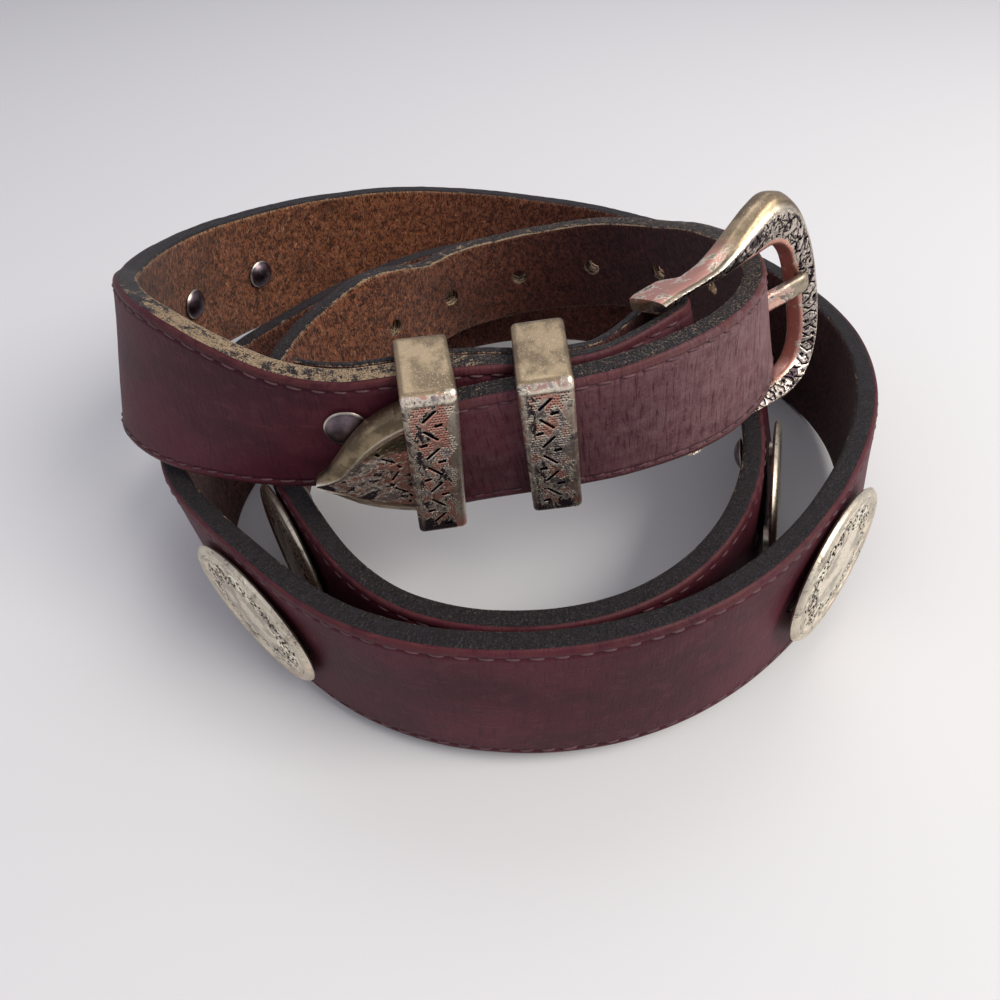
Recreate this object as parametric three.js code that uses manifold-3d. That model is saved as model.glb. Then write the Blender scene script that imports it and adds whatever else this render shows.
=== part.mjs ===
// Western belt, fastened and laid down in three turns: one stitched leather strap with an engraved
// buckle, prong, two keepers, a pointed tip and seven oval conchos held by domed screws.
// Millimetres, +Z up, +Y to the back. The strap's travel starts at the buckle bar and runs clockwise
// seen from above: front, left, back, right, three times round, and the tail ends on its own front.
import * as THREE from "three";
import { mergeVertices } from "three/addons/utils/BufferGeometryUtils.js";
import Module from "manifold-3d";

const wasm = await Module();
wasm.setup();

// Driving dimensions of the leather
const BODY_WIDTH = 31.5;
const TAIL_WIDTH = 24;
const THICKNESS = 4.1;
const FOLD_THICKNESS = 2.3;
const FOLD_END_THICKNESS = 1.1;
const FOLD_LENGTH = 69;
const TIP_LEATHER_THICKNESS = 2.0;
const EDGE_CHAMFER = 0.7;
const FRONT_WIDENS = { from: 58, to: 98 };
const TAIL_NARROWS = { from: 1018, to: 1044 };
const STRAP_END = 1249.5;
const GAP = 0.35;

// Evenly spaced holes for the prong; the one in use comes first
const HOLE = { radius: 2.1, pitch: 21.6, used: 1157, count: 7 };

// Buckle, prong, keepers, tip, conchos and screws
const BAR_RADIUS = 2.0;
const LOOP_RADIUS = 3.5;
const BUCKLE = { yaw: 39, nose: 6, lean: -18, raise: 3.0, crown: 2.6, settles: 60 };
const PRONG = { width: 3.6, reach: 32.2 };
const KEEPER = { width: 8.6, wall: 1.3, corner: 2.4 };
const KEEPERS = [
  { name: "keeper_1", at: 1233.7, skew: -9, spareBelow: 1.6 },
  { name: "keeper_2", at: 1214.2, skew: -4, spareBelow: 0.8 },
];
const TIP = { from: 1232.0, to: 1253.8, wall: 0.9 };
const CONCHO = { long: 35, tall: 27, thick: 1.4, screwSpread: 12.8 };
const SCREW = { radius: 3.6, dome: 1.8, shank: 1.4, hole: 1.95, under: 0.58 };

// The run of the strap: angle clockwise from the front round the middle of the coil, distance of the
// leather's middle from there, height of its lower edge over the floor, and lean (top outward is plus).
const RUN = {
  frontTop: [
    { angle: -59.0, radius: 39.3, foot: 36.6, lean: -16 },
    { angle: -32.7, radius: 33.4, foot: 34.2, lean: -8 },
    { angle: -16.5, radius: 30.2, foot: 34.0, lean: -1 },
    { angle: 1.8, radius: 28.9, foot: 34.6, lean: 3 },
    { angle: 25, radius: 32.3, foot: 35.0, lean: 6 },
    { angle: 45, radius: 42.8, foot: 34.6, lean: 3 },
  ],
  leftOver: [
    { angle: 65, radius: 56.3, foot: 33.4, lean: -8 },
    { angle: 82, radius: 68.2, foot: 31.6, lean: -19 },
    { angle: 95, radius: 75.2, foot: 26.6, lean: -19 },
    { angle: 112, radius: 81.6, foot: 20.0, lean: -10 },
    { angle: 135, radius: 86.3, foot: 13.5, lean: -4 },
  ],
  backOuter: [
    { angle: 160, radius: 88.0, foot: 8.0, lean: 2 },
    { angle: 190, radius: 86.0, foot: 2.5, lean: 3 },
    { angle: 220, radius: 85.5, foot: 0, lean: 1 },
    { angle: 245, radius: 84.0, foot: 0.5, lean: -4 },
  ],
  rightOuter: [
    { angle: 265, radius: 81.0, foot: 2.0, lean: -9 },
    { angle: 285, radius: 75.5, foot: 3.0, lean: -11 },
    { angle: 310, radius: 69.5, foot: 2.0, lean: -8 },
    { angle: 335, radius: 67.5, foot: 3.0, lean: -5 },
  ],
  frontOuter: [
    { angle: 360, radius: 65.6, foot: 3.0, lean: -3 },
    { angle: 385, radius: 63.6, foot: 2.5, lean: -1 },
    { angle: 405, radius: 61.8, foot: 1.5, lean: -1 },
    { angle: 420, radius: 63.6, foot: 0.5, lean: 0 },
  ],
  leftFloor: [
    { angle: 435, radius: 66.4, foot: 0, lean: 3 },
    { angle: 450, radius: 66.0, foot: 0, lean: 4 },
    { angle: 465, radius: 62.8, foot: 0, lean: 4 },
    { angle: 480, radius: 59.5, foot: 0, lean: 4 },
    { angle: 500, radius: 58.0, foot: 0.5, lean: 3 },
  ],
  backMiddle: [
    { angle: 520, radius: 60.5, foot: 0.5, lean: 3 },
    { angle: 545, radius: 66.0, foot: 0, lean: 2 },
    { angle: 570, radius: 70.0, foot: 0, lean: 0 },
    { angle: 595, radius: 70.5, foot: 0, lean: -5 },
  ],
  rightInner: [
    { angle: 612, radius: 66.6, foot: 0, lean: -13 },
    { angle: 626, radius: 60.6, foot: 0, lean: -19 },
    { angle: 637, radius: 57.2, foot: 0, lean: -18 },
    { angle: 648, radius: 56.4, foot: 0, lean: -14 },
    { angle: 670, radius: 58.0, foot: 0, lean: -9 },
    { angle: 700, radius: 61.0, foot: 0, lean: -6 },
  ],
  frontInner: [
    { angle: 720, radius: 60.0, foot: 0, lean: -4 },
    { angle: 740, radius: 57.3, foot: 0, lean: -4 },
    { angle: 765, radius: 50.3, foot: 0.3, lean: -4 },
    { angle: 785, radius: 48.2, foot: 2.2, lean: -2 },
  ],
  leftInner: [
    { angle: 810, radius: 46.6, foot: 6.5, lean: 1 },
    { angle: 840, radius: 41.8, foot: 10.0, lean: 2 },
    { angle: 855, radius: 41.3, foot: 11.3, lean: 2 },
    { angle: 870, radius: 44.2, foot: 12.3, lean: 1 },
  ],
  backInner: [
    { angle: 885, radius: 50.5, foot: 12.6, lean: 0 },
    { angle: 900, radius: 56.0, foot: 12.9, lean: -1 },
    { angle: 915, radius: 58.5, foot: 15.0, lean: -4 },
    { angle: 933, radius: 57.8, foot: 20.0, lean: -8 },
    { angle: 950, radius: 55.7, foot: 24.5, lean: -12 },
  ],
  rightRising: [
    { angle: 968.8, radius: 52.9, foot: 30.6, lean: -16 },
    { angle: 988.9, radius: 51.2, foot: 35.1, lean: -18 },
    { angle: 1010.4, radius: 47.8, foot: 36.9, lean: -13 },
    { angle: 1030.7, radius: 42.6, foot: 37.2, lean: -6 },
  ],
  tailOver: [
    { angle: 1053, radius: 37.1, foot: 36.0, lean: 1 },
    { angle: 1080, radius: 33.5, foot: 33.3, lean: 3 },
    { angle: 1105, radius: 38.5, foot: 30.8, lean: 4 },
    { angle: 1121, radius: 47.7, foot: 28.8, lean: 4 },
  ],
};
const rows = Object.values(RUN).flat();

const radians = (degrees) => (degrees * Math.PI) / 180;
const v3 = (x, y, z) => new THREE.Vector3(x, y, z);
const along = (origin, ...terms) => {
  const point = origin.clone();
  for (const [direction, amount] of terms) point.addScaledVector(direction, amount);
  return point;
};

// Natural cubic curve through the named column of the rows
function smoothColumn(name) {
  const x = rows.map((row) => row.angle);
  const y = rows.map((row) => row[name]);
  const n = x.length;
  const bend = new Array(n).fill(0);
  const diagonal = new Array(n).fill(1);
  const right = new Array(n).fill(0);
  const upper = new Array(n).fill(0);
  for (let i = 1; i < n - 1; i++) {
    const before = x[i] - x[i - 1];
    const after = x[i + 1] - x[i];
    const slopes = (y[i + 1] - y[i]) / after - (y[i] - y[i - 1]) / before;
    diagonal[i] = 2 * (before + after) - (before * upper[i - 1]) / diagonal[i - 1];
    upper[i] = after;
    right[i] = 6 * slopes - (before * right[i - 1]) / diagonal[i - 1];
  }
  for (let i = n - 2; i > 0; i--) bend[i] = (right[i] - upper[i] * bend[i + 1]) / diagonal[i];
  return (angle) => {
    let i = 0;
    while (i < n - 2 && angle > x[i + 1]) i++;
    const h = x[i + 1] - x[i];
    const a = (x[i + 1] - angle) / h;
    const b = 1 - a;
    return a * y[i] + b * y[i + 1] + (((a ** 3 - a) * bend[i] + (b ** 3 - b) * bend[i + 1]) * h * h) / 6;
  };
}

// Curve through a column that never swings past its rows
function steadyColumn(name) {
  const x = rows.map((row) => row.angle);
  const y = rows.map((row) => row[name]);
  const slope = x.slice(1).map((value, i) => (y[i + 1] - y[i]) / (value - x[i]));
  const tangent = y.map((value, i) => {
    if (i === 0 || i === y.length - 1) return 0;
    const product = slope[i - 1] * slope[i];
    return product > 0 ? (2 * product) / (slope[i - 1] + slope[i]) : 0;
  });
  return (angle) => {
    let i = 0;
    while (i < x.length - 2 && angle > x[i + 1]) i++;
    const h = x[i + 1] - x[i];
    const t = (angle - x[i]) / h;
    const ease = t * t * (3 - 2 * t);
    const start = t * (1 - t) * (1 - t) * h;
    const stop = t * t * (t - 1) * h;
    return y[i] + (y[i + 1] - y[i]) * ease + tangent[i] * start + tangent[i + 1] * stop;
  };
}

const between = (value, from, to) => Math.min(1, Math.max(0, (value - from) / (to - from)));
const eased = (value, from, to) => {
  const t = between(value, from, to);
  return t * t * (3 - 2 * t);
};

function widthAt(s) {
  if (s < TAIL_NARROWS.from) {
    return TAIL_WIDTH + (BODY_WIDTH - TAIL_WIDTH) * eased(s, FRONT_WIDENS.from, FRONT_WIDENS.to);
  }
  return BODY_WIDTH + (TAIL_WIDTH - BODY_WIDTH) * eased(s, TAIL_NARROWS.from, TAIL_NARROWS.to);
}

function thicknessAt(s) {
  if (s > TIP.from - 0.6) return THICKNESS + (TIP_LEATHER_THICKNESS - THICKNESS) * between(s, TIP.from - 0.6, TIP.from - 0.4);
  return FOLD_THICKNESS + (THICKNESS - FOLD_THICKNESS) * eased(s, 4, 46);
}

// The run in fine steps: place and length travelled at each angle
const radiusCurve = smoothColumn("radius");
const leanCurve = smoothColumn("lean");
const footCurve = steadyColumn("foot");
const STEP_ANGLE = 0.5;
const fine = [];
{
  const first = rows[0].angle;
  const last = rows[rows.length - 1].angle;
  const count = Math.round((last - first) / STEP_ANGLE);
  let travelled = 0;
  for (let i = 0; i <= count; i++) {
    const angle = first + ((last - first) * i) / count;
    const radius = radiusCurve(angle);
    const place = v3(-radius * Math.sin(radians(angle)), -radius * Math.cos(radians(angle)), footCurve(angle));
    if (i > 0) travelled += place.distanceTo(fine[i - 1].place);
    fine.push({ angle, place, s: travelled });
  }
  for (const spot of fine) {
    const lean = radians(leanCurve(spot.angle));
    spot.lean = lean;
    const reach = (widthAt(spot.s) / 2) * Math.cos(lean) + (THICKNESS / 2) * Math.abs(Math.sin(lean));
    spot.place.z += reach;
  }
}

// Buckle directions: ahead from the bar to the far rim, tall along the bar, face outward
const level = v3(Math.cos(radians(BUCKLE.yaw)), Math.sin(radians(BUCKLE.yaw)), 0);
const ahead = level.multiplyScalar(Math.cos(radians(BUCKLE.nose))).add(v3(0, 0, Math.sin(radians(BUCKLE.nose))));
const aside = v3(Math.sin(radians(BUCKLE.yaw)), -Math.cos(radians(BUCKLE.yaw)), 0);
const risen = aside.clone().cross(ahead).normalize();
if (risen.z < 0) risen.negate();
const tall = along(v3(0, 0, 0), [risen, Math.cos(radians(BUCKLE.lean))], [aside, Math.sin(radians(BUCKLE.lean))]);
const face = along(v3(0, 0, 0), [aside, Math.cos(radians(BUCKLE.lean))], [risen, -Math.sin(radians(BUCKLE.lean))]);

// Place and directions of the leather's middle at length s: travel, across (up) and out.
// Near the bar the leather lies square to it.
function frameAt(s) {
  const clamped = Math.min(Math.max(s, 0), fine[fine.length - 1].s);
  let low = 0;
  let high = fine.length - 1;
  while (high - low > 1) {
    const middle = (low + high) >> 1;
    if (fine[middle].s <= clamped) low = middle;
    else high = middle;
  }
  const a = fine[low];
  const b = fine[high];
  const t = (clamped - a.s) / (b.s - a.s);
  const middle = a.place.clone().lerp(b.place, t);
  const before = fine[Math.max(low - 2, 0)].place;
  const after = fine[Math.min(high + 2, fine.length - 1)].place;
  const travel = after.clone().sub(before).normalize();
  const sideways = v3(0, 0, 1).cross(travel).normalize();
  const upright = travel.clone().cross(sideways);
  const lean = a.lean + (b.lean - a.lean) * t;
  const across = upright.clone().multiplyScalar(Math.cos(lean)).addScaledVector(sideways, Math.sin(lean));
  const square = 1 - eased(s, 0, BUCKLE.settles);
  across.multiplyScalar(1 - square).addScaledVector(tall, square).normalize();
  travel.addScaledVector(across, -travel.dot(across)).normalize();
  const out = across.clone().cross(travel);
  middle.addScaledVector(travel, s - clamped);
  return { middle, travel, across, out };
}

// Closed skin over a row of loops that all have the same number of points, with flat ends
// and the first loops, when asked, with their squares split the other way
function skin(loops, otherSplit = 0) {
  const size = loops[0].length;
  const position = [];
  const index = [];
  for (const loop of loops) for (const point of loop) position.push(point.x, point.y, point.z);
  for (let i = 0; i < loops.length - 1; i++) {
    const next = i + 1;
    for (let j = 0; j < size; j++) {
      const k = (j + 1) % size;
      const a = i * size + j;
      const b = i * size + k;
      const c = next * size + k;
      const d = next * size + j;
      if (i < otherSplit) index.push(a, b, d, b, c, d);
      else index.push(a, b, c, a, c, d);
    }
  }
  const end = (loops.length - 1) * size;
  for (let j = 1; j < size - 1; j++) {
    index.push(0, j + 1, j);
    index.push(end, end + j, end + j + 1);
  }
  const geometry = new THREE.BufferGeometry();
  geometry.setAttribute("position", new THREE.Float32BufferAttribute(position, 3));
  geometry.setIndex(index);
  return geometry;
}

// Solid from a geometry, turned facing out
function solid(geometry) {
  const plain = geometry.clone();
  plain.deleteAttribute("normal");
  plain.deleteAttribute("uv");
  const merged = mergeVertices(plain, 1e-5);
  const place = merged.attributes.position;
  const triangles = Array.from(merged.index.array);
  let volume = 0;
  const a = v3(0, 0, 0);
  const b = v3(0, 0, 0);
  const c = v3(0, 0, 0);
  for (let i = 0; i < triangles.length; i += 3) {
    a.fromBufferAttribute(place, triangles[i]);
    b.fromBufferAttribute(place, triangles[i + 1]);
    c.fromBufferAttribute(place, triangles[i + 2]);
    volume += a.dot(b.cross(c));
  }
  if (volume < 0) {
    for (let i = 0; i < triangles.length; i += 3) {
      [triangles[i + 1], triangles[i + 2]] = [triangles[i + 2], triangles[i + 1]];
    }
  }
  const mesh = new wasm.Mesh({
    numProp: 3,
    vertProperties: new Float32Array(place.array),
    triVerts: new Uint32Array(triangles),
  });
  mesh.merge();
  return new wasm.Manifold(mesh);
}

function geometryOf(body) {
  const mesh = body.getMesh();
  const geometry = new THREE.BufferGeometry();
  geometry.setAttribute("position", new THREE.Float32BufferAttribute(mesh.vertProperties, 3));
  geometry.setIndex(new THREE.Uint32BufferAttribute(mesh.triVerts, 1));
  const flat = geometry.toNonIndexed();
  flat.computeVertexNormals();
  return flat;
}

// Eight-cornered section of leather: across from edge to edge, out from inner to outer face
function leatherLoop(middle, across, out, width, thick, settle = true) {
  const chamfer = Math.min(EDGE_CHAMFER, thick * 0.3);
  const w = width / 2;
  const t = thick / 2;
  const corners = [
    [w - chamfer, t], [w, t - chamfer], [w, chamfer - t], [w - chamfer, -t],
    [chamfer - w, -t], [-w, chamfer - t], [-w, t - chamfer], [chamfer - w, t],
  ];
  return corners.map(([u, n]) => {
    const point = along(middle, [across, u], [out, n]);
    // leather that touches the floor is flattened on it
    if (settle && point.z < 1.8) point.z = Math.max(0, 2 * (point.z - 0.9));
    return point;
  });
}

// Folded-back layer: how far its middle lies inside the front layer's middle at length s
function foldOffset(s) {
  const lying = thicknessAt(s) / 2 + GAP + 0.2 + foldThickness(s) / 2;
  return lying + (2 * LOOP_RADIUS - lying) * Math.exp(-((s / 13) ** 2));
}
function foldThickness(s) {
  return FOLD_THICKNESS + (FOLD_END_THICKNESS - FOLD_THICKNESS) * eased(s, 8, FOLD_LENGTH);
}

const FOLD_STEPS = 18;
const start = frameAt(0);
const barMiddle = along(start.middle, [start.out, -LOOP_RADIUS]);

function strapLoops() {
  const loops = [];
  for (let i = 0; i < FOLD_STEPS; i++) {
    const s = FOLD_LENGTH * (1 - i / FOLD_STEPS) ** 1.2;
    const { middle, across, out } = frameAt(s);
    const inward = out.clone().negate();
    const centre = along(middle, [out, -foldOffset(s)]);
    loops.push(leatherLoop(centre, across, inward, widthAt(s) - 0.6, foldThickness(s)));
  }
  const turnSteps = 10;
  for (let i = 0; i < turnSteps; i++) {
    const turn = Math.PI * (1 - i / turnSteps);
    const out = start.out.clone().multiplyScalar(Math.cos(turn)).addScaledVector(start.travel, -Math.sin(turn));
    const centre = along(barMiddle, [out, LOOP_RADIUS]);
    loops.push(leatherLoop(centre, start.across, out, TAIL_WIDTH - 0.6 * (turn / Math.PI), FOLD_THICKNESS));
  }
  const stations = [0, 2.5, 5, 9, 13, 17, 21, 25, 30, 35, 41, 47, 53, 60];
  for (let s = 67; s < TIP.from - 6; s += 7) stations.push(s);
  stations.push(TIP.from - 3, TIP.from - 0.6, TIP.from - 0.4);
  for (const s of stations) {
    const { middle, across, out } = frameAt(s);
    const width = s > TIP.from - 0.5 ? pocketWidth(TIP.from) - 0.8 : widthAt(s);
    loops.push(leatherLoop(middle, across, out, width, thicknessAt(s)));
  }
  // the pointed end of the leather, inside the tip
  for (const t of [0.15, 0.4, 0.62, 0.8, 0.93, 1]) {
    const s = TIP.from + (STRAP_END - TIP.from) * t;
    const { middle, across, out } = frameAt(s);
    loops.push(leatherLoop(middle, across, out, pocketWidth(s) - 0.8, TIP_LEATHER_THICKNESS));
  }
  return loops;
}

// Half outline of the tip: how wide the metal is at each part of its length
const TIP_OUTLINE = [
  { part: 0, width: 25.2 }, { part: 0.22, width: 24.6 }, { part: 0.42, width: 21.4 }, { part: 0.6, width: 16.4 },
  { part: 0.76, width: 10.6 }, { part: 0.9, width: 5.0 }, { part: 1, width: 1.6 },
];
function tipWidth(s) {
  const part = (s - TIP.from) / (TIP.to - TIP.from);
  let i = 0;
  while (i < TIP_OUTLINE.length - 2 && part > TIP_OUTLINE[i + 1].part) i++;
  const a = TIP_OUTLINE[i];
  const b = TIP_OUTLINE[i + 1];
  return a.width + (b.width - a.width) * between(part, a.part, b.part);
}
function pocketWidth(s) {
  return Math.max(tipWidth(s) - 2 * TIP.wall - 1.2 * between(s, TIP.from + 6, STRAP_END), 2.4);
}

function cylinder(centre, axis, radius, length, sides = 16) {
  const helper = Math.abs(axis.z) < 0.9 ? v3(0, 0, 1) : v3(1, 0, 0);
  const a = helper.clone().cross(axis).normalize();
  const b = axis.clone().cross(a).normalize();
  const loops = [-length / 2, length / 2].map((height) => {
    const loop = [];
    for (let i = 0; i < sides; i++) {
      const turn = (2 * Math.PI * i) / sides;
      loop.push(along(centre, [axis, height], [a, radius * Math.cos(turn)], [b, radius * Math.sin(turn)]));
    }
    return loop;
  });
  return skin(loops);
}

const inBuckle = (u, v, n) => along(barMiddle, [ahead, u], [tall, v], [face, n]);

// The frame's outline from the block end over the bar round the far rim to the one under it: outer and
// inner edge, and depth of its back. The window lies a little low, because the tail passes low in it
const OUTLINE = [
  { outerAhead: -4.8, outerTall: 15.2, innerAhead: -4.8, innerTall: 12.9, back: -5.2 },
  { outerAhead: -3.4, outerTall: 15.3, innerAhead: -3.4, innerTall: 12.8, back: -5.4 },
  { outerAhead: 1.8, outerTall: 15.0, innerAhead: 2.4, innerTall: 12.5, back: -5.4 },
  { outerAhead: 4.6, outerTall: 14.8, innerAhead: 4.8, innerTall: 12.4, back: -2.5 },
  { outerAhead: 8.0, outerTall: 14.9, innerAhead: 8.0, innerTall: 11.9, back: -2.5 },
  { outerAhead: 12.4, outerTall: 15.9, innerAhead: 12.0, innerTall: 11.3, back: -2.5 },
  { outerAhead: 15.8, outerTall: 17.1, innerAhead: 15.2, innerTall: 11.1, back: -2.5 },
  { outerAhead: 18.8, outerTall: 18.2, innerAhead: 18.2, innerTall: 11.0, back: -2.5 },
  { outerAhead: 22.4, outerTall: 19.4, innerAhead: 21.6, innerTall: 11.0, back: -2.5 },
  { outerAhead: 25.8, outerTall: 20.0, innerAhead: 24.6, innerTall: 10.9, back: -2.5 },
  { outerAhead: 28.8, outerTall: 19.1, innerAhead: 27.4, innerTall: 10.2, back: -2.5 },
  { outerAhead: 31.6, outerTall: 16.6, innerAhead: 29.4, innerTall: 8.6, back: -2.5 },
  { outerAhead: 33.6, outerTall: 13.2, innerAhead: 30.6, innerTall: 6.3, back: -2.5 },
  { outerAhead: 35.2, outerTall: 8.4, innerAhead: 31.1, innerTall: 3.6, back: -2.5 },
  { outerAhead: 36.1, outerTall: 3.4, innerAhead: 31.3, innerTall: 0.6, back: -2.5 },
  { outerAhead: 36.3, outerTall: -1.0, innerAhead: 31.4, innerTall: -2.6, back: -2.5 },
  { outerAhead: 36.0, outerTall: -5.6, innerAhead: 31.5, innerTall: -6.0, back: -2.5 },
  { outerAhead: 35.2, outerTall: -10.0, innerAhead: 31.2, innerTall: -9.0, back: -2.5 },
  { outerAhead: 33.6, outerTall: -14.0, innerAhead: 30.2, innerTall: -11.8, back: -2.5 },
  { outerAhead: 31.2, outerTall: -17.2, innerAhead: 28.4, innerTall: -13.8, back: -2.5 },
  { outerAhead: 27.8, outerTall: -19.4, innerAhead: 25.6, innerTall: -14.9, back: -2.5 },
  { outerAhead: 24.0, outerTall: -20.0, innerAhead: 22.4, innerTall: -15.1, back: -2.5 },
  { outerAhead: 20.4, outerTall: -19.2, innerAhead: 19.0, innerTall: -15.0, back: -2.5 },
  { outerAhead: 16.0, outerTall: -18.2, innerAhead: 15.2, innerTall: -14.9, back: -2.5 },
  { outerAhead: 12.0, outerTall: -17.2, innerAhead: 11.6, innerTall: -14.6, back: -2.5 },
  { outerAhead: 8.0, outerTall: -16.4, innerAhead: 8.0, innerTall: -14.2, back: -2.5 },
  { outerAhead: 4.6, outerTall: -16.0, innerAhead: 4.8, innerTall: -13.9, back: -2.5 },
  { outerAhead: 1.8, outerTall: -15.9, innerAhead: 2.4, innerTall: -13.8, back: -5.4 },
  { outerAhead: -3.4, outerTall: -15.9, innerAhead: -3.4, innerTall: -13.6, back: -5.4 },
  { outerAhead: -4.8, outerTall: -15.6, innerAhead: -4.8, innerTall: -13.6, back: -5.2 },
];

function buckleGeometry() {
  const loops = OUTLINE.map((row) => {
    const spot = (part, n) => {
      const u = row.outerAhead + (row.innerAhead - row.outerAhead) * part;
      const v = row.outerTall + (row.innerTall - row.outerTall) * part;
      return inBuckle(u, v, BUCKLE.raise + n);
    };
    return [
      spot(0.1, row.back), spot(0, row.back + 0.8), spot(0, 0.2), spot(0.12, 1.7),
      spot(0.34, BUCKLE.crown), spot(0.6, BUCKLE.crown - 0.5), spot(0.92, 0.9), spot(1, 0.2),
      spot(1, row.back + 0.6), spot(0.9, row.back),
    ];
  });
  const horseshoe = solid(skin(loops));
  const bar = solid(cylinder(along(barMiddle, [tall, -0.5]), tall, BAR_RADIUS, 28.8, 16));
  return geometryOf(horseshoe.add(bar));
}

// Prong: a loop on the bar, then a flat rod that rises over the far rim
function prongGeometry() {
  const inner = BAR_RADIUS + 0.42;
  const outer = inner + 1.3;
  const half = PRONG.width / 2;
  const bend = [];
  for (let i = 0; i <= 12; i++) {
    const turn = radians(80 - i * 28);
    bend.push({ turn });
  }
  const loops = bend.map(({ turn }) => {
    const c = Math.cos(turn);
    const s = Math.sin(turn);
    return [
      inBuckle(inner * c, half, inner * s), inBuckle(outer * c, half, outer * s),
      inBuckle(outer * c, -half, outer * s), inBuckle(inner * c, -half, inner * s),
    ];
  });
  const ring = solid(skin(loops));
  const side = [
    { u: -0.6, low: inner + 0.05, high: outer - 0.02, wide: 1, drift: 0 },
    { u: 4, low: 1.7, high: 3.5, wide: 1, drift: 0 }, { u: 10, low: 0.5, high: 2.5, wide: 1, drift: 0 },
    { u: 17, low: -0.2, high: 1.9, wide: 1, drift: 0 }, { u: 22, low: 0.3, high: 2.4, wide: 1, drift: 0.1 },
    { u: 26, low: 2.0, high: 4.1, wide: 1, drift: 0.6 }, { u: 29.2, low: 3.6, high: 5.5, wide: 1, drift: 1.1 },
    { u: PRONG.reach - 1.0, low: 4.35, high: 6.0, wide: 0.92, drift: 1.4 },
    { u: PRONG.reach, low: 4.8, high: 5.6, wide: 0.66, drift: 1.5 },
  ];
  const rod = solid(skin(side.map((row) => {
    const w = half * row.wide;
    const soft = Math.min(0.6, (row.high - row.low) * 0.4);
    const d = row.drift;
    return [
      inBuckle(row.u, d + w, row.low), inBuckle(row.u, d + w, row.high - soft),
      inBuckle(row.u, d + w - 0.8, row.high), inBuckle(row.u, d + 0.8 - w, row.high),
      inBuckle(row.u, d - w, row.high - soft), inBuckle(row.u, d - w, row.low),
    ];
  })));
  return { body: ring.add(rod), rod: side };
}

// Room that the prong needs in the tail leather round its hole
function prongRoom(side) {
  const spare = 0.4;
  return solid(skin(side.slice(1).map((row, i, list) => {
    const w = PRONG.width / 2 + spare;
    const u = i === list.length - 1 ? row.u + spare : row.u;
    const d = row.drift;
    return [
      inBuckle(u, d + w, row.low - spare), inBuckle(u, d + w, row.high + spare),
      inBuckle(u, d - w, row.high + spare), inBuckle(u, d - w, row.low - spare),
    ];
  })));
}

const prong = prongGeometry();

function strapGeometry() {
  let leather = solid(skin(strapLoops(), FOLD_STEPS));
  for (let i = 0; i < HOLE.count; i++) {
    const { middle, out } = frameAt(HOLE.used - HOLE.pitch * i);
    leather = leather.subtract(solid(cylinder(middle, out, HOLE.radius, 9, 14)));
  }
  leather = leather.subtract(prongRoom(prong.rod));
  // slot in the fold for the prong's loop
  const slot = cylinder(barMiddle, tall, 7.6, PRONG.width + 1.2, 18);
  leather = leather.subtract(solid(slot));
  for (const { at } of CONCHOS) {
    for (const side of [-1, 1]) {
      const { middle, out } = frameAt(at + side * CONCHO.screwSpread);
      leather = leather.subtract(solid(cylinder(middle, out, SCREW.hole, 9, 8)));
    }
  }
  const { middle, across, out } = frameAt(FOLD_SCREW.place);
  const fold = along(middle, [out, -3], [across, FOLD_SCREW.above]);
  leather = leather.subtract(solid(cylinder(fold, out, SCREW.hole, 16, 8)));
  return geometryOf(leather);
}

// Lengths along the strap at which the conchos sit, and the screw that holds the fold
const CONCHOS = [
  { at: 171, lift: 0.6 },
  { at: 304, lift: 0.6 },
  { at: 437, lift: 0.6 },
  { at: 554.5, lift: 0.6, screwsUnder: 0.4 },
  { at: 693, lift: 0.6 },
  { at: 832, lift: 1.3, screwsUnder: 0.7 },
  { at: 954.5, lift: 0.55, screwsUnder: 0.7 },
];
const FOLD_SCREW = { place: 60.8, above: 3.0, dome: 1.1 };

// Oval concho: a shallow plate with a raised rim, flat behind, on two short posts
function conchoGeometry({ at, lift }) {
  const { middle, travel, across, out } = frameAt(at);
  const base = THICKNESS / 2 + lift;
  const profile = [
    { part: 1.0, n: 0.6 }, { part: 0.95, n: CONCHO.thick }, { part: 0.84, n: CONCHO.thick },
    { part: 0.79, n: 1.15 }, { part: 0.04, n: 1.7 },
  ];
  const sides = 20;
  const ovalLoop = (part, n) => {
    const loop = [];
    for (let i = 0; i < sides; i++) {
      const turn = (2 * Math.PI * i) / sides;
      const a = (CONCHO.long / 2) * part * Math.cos(turn);
      const b = (CONCHO.tall / 2) * part * Math.sin(turn);
      loop.push(along(middle, [travel, a], [across, b], [out, base + n]));
    }
    return loop;
  };
  const loops = [ovalLoop(0.94, 0), ...profile.map((row) => ovalLoop(row.part, row.n))];
  let plate = solid(skin(loops));
  for (const side of [-1, 1]) {
    const post = along(middle, [travel, side * CONCHO.screwSpread], [out, base - lift / 2 + 0.4]);
    plate = plate.add(solid(cylinder(post, out, 2.6, lift + 0.2, 6)));
  }
  return geometryOf(plate);
}

// Domed screw cap on the inner face, its shank runs out through the leather
function screwGeometry(middle, direction, faceAt, shankLength, dome) {
  const radius = SCREW.radius;
  const profile = [
    { r: radius, n: 0 }, { r: radius * 0.92, n: dome * 0.45 }, { r: radius * 0.5, n: dome * 0.9 },
    { r: radius * 0.08, n: dome },
  ];
  const a = v3(0, 0, 1).cross(direction).normalize();
  const b = direction.clone().cross(a).normalize();
  const sides = 10;
  const loops = profile.map((row) => {
    const loop = [];
    for (let i = 0; i < sides; i++) {
      const turn = (2 * Math.PI * i) / sides;
      loop.push(along(middle, [direction, faceAt + row.n], [a, row.r * Math.cos(turn)], [b, row.r * Math.sin(turn)]));
    }
    return loop;
  });
  const cap = solid(skin(loops));
  const shankMiddle = along(middle, [direction, faceAt - shankLength / 2 + 0.2]);
  return cap.add(solid(cylinder(shankMiddle, direction, SCREW.shank, shankLength + 0.4, 6)));
}

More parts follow.
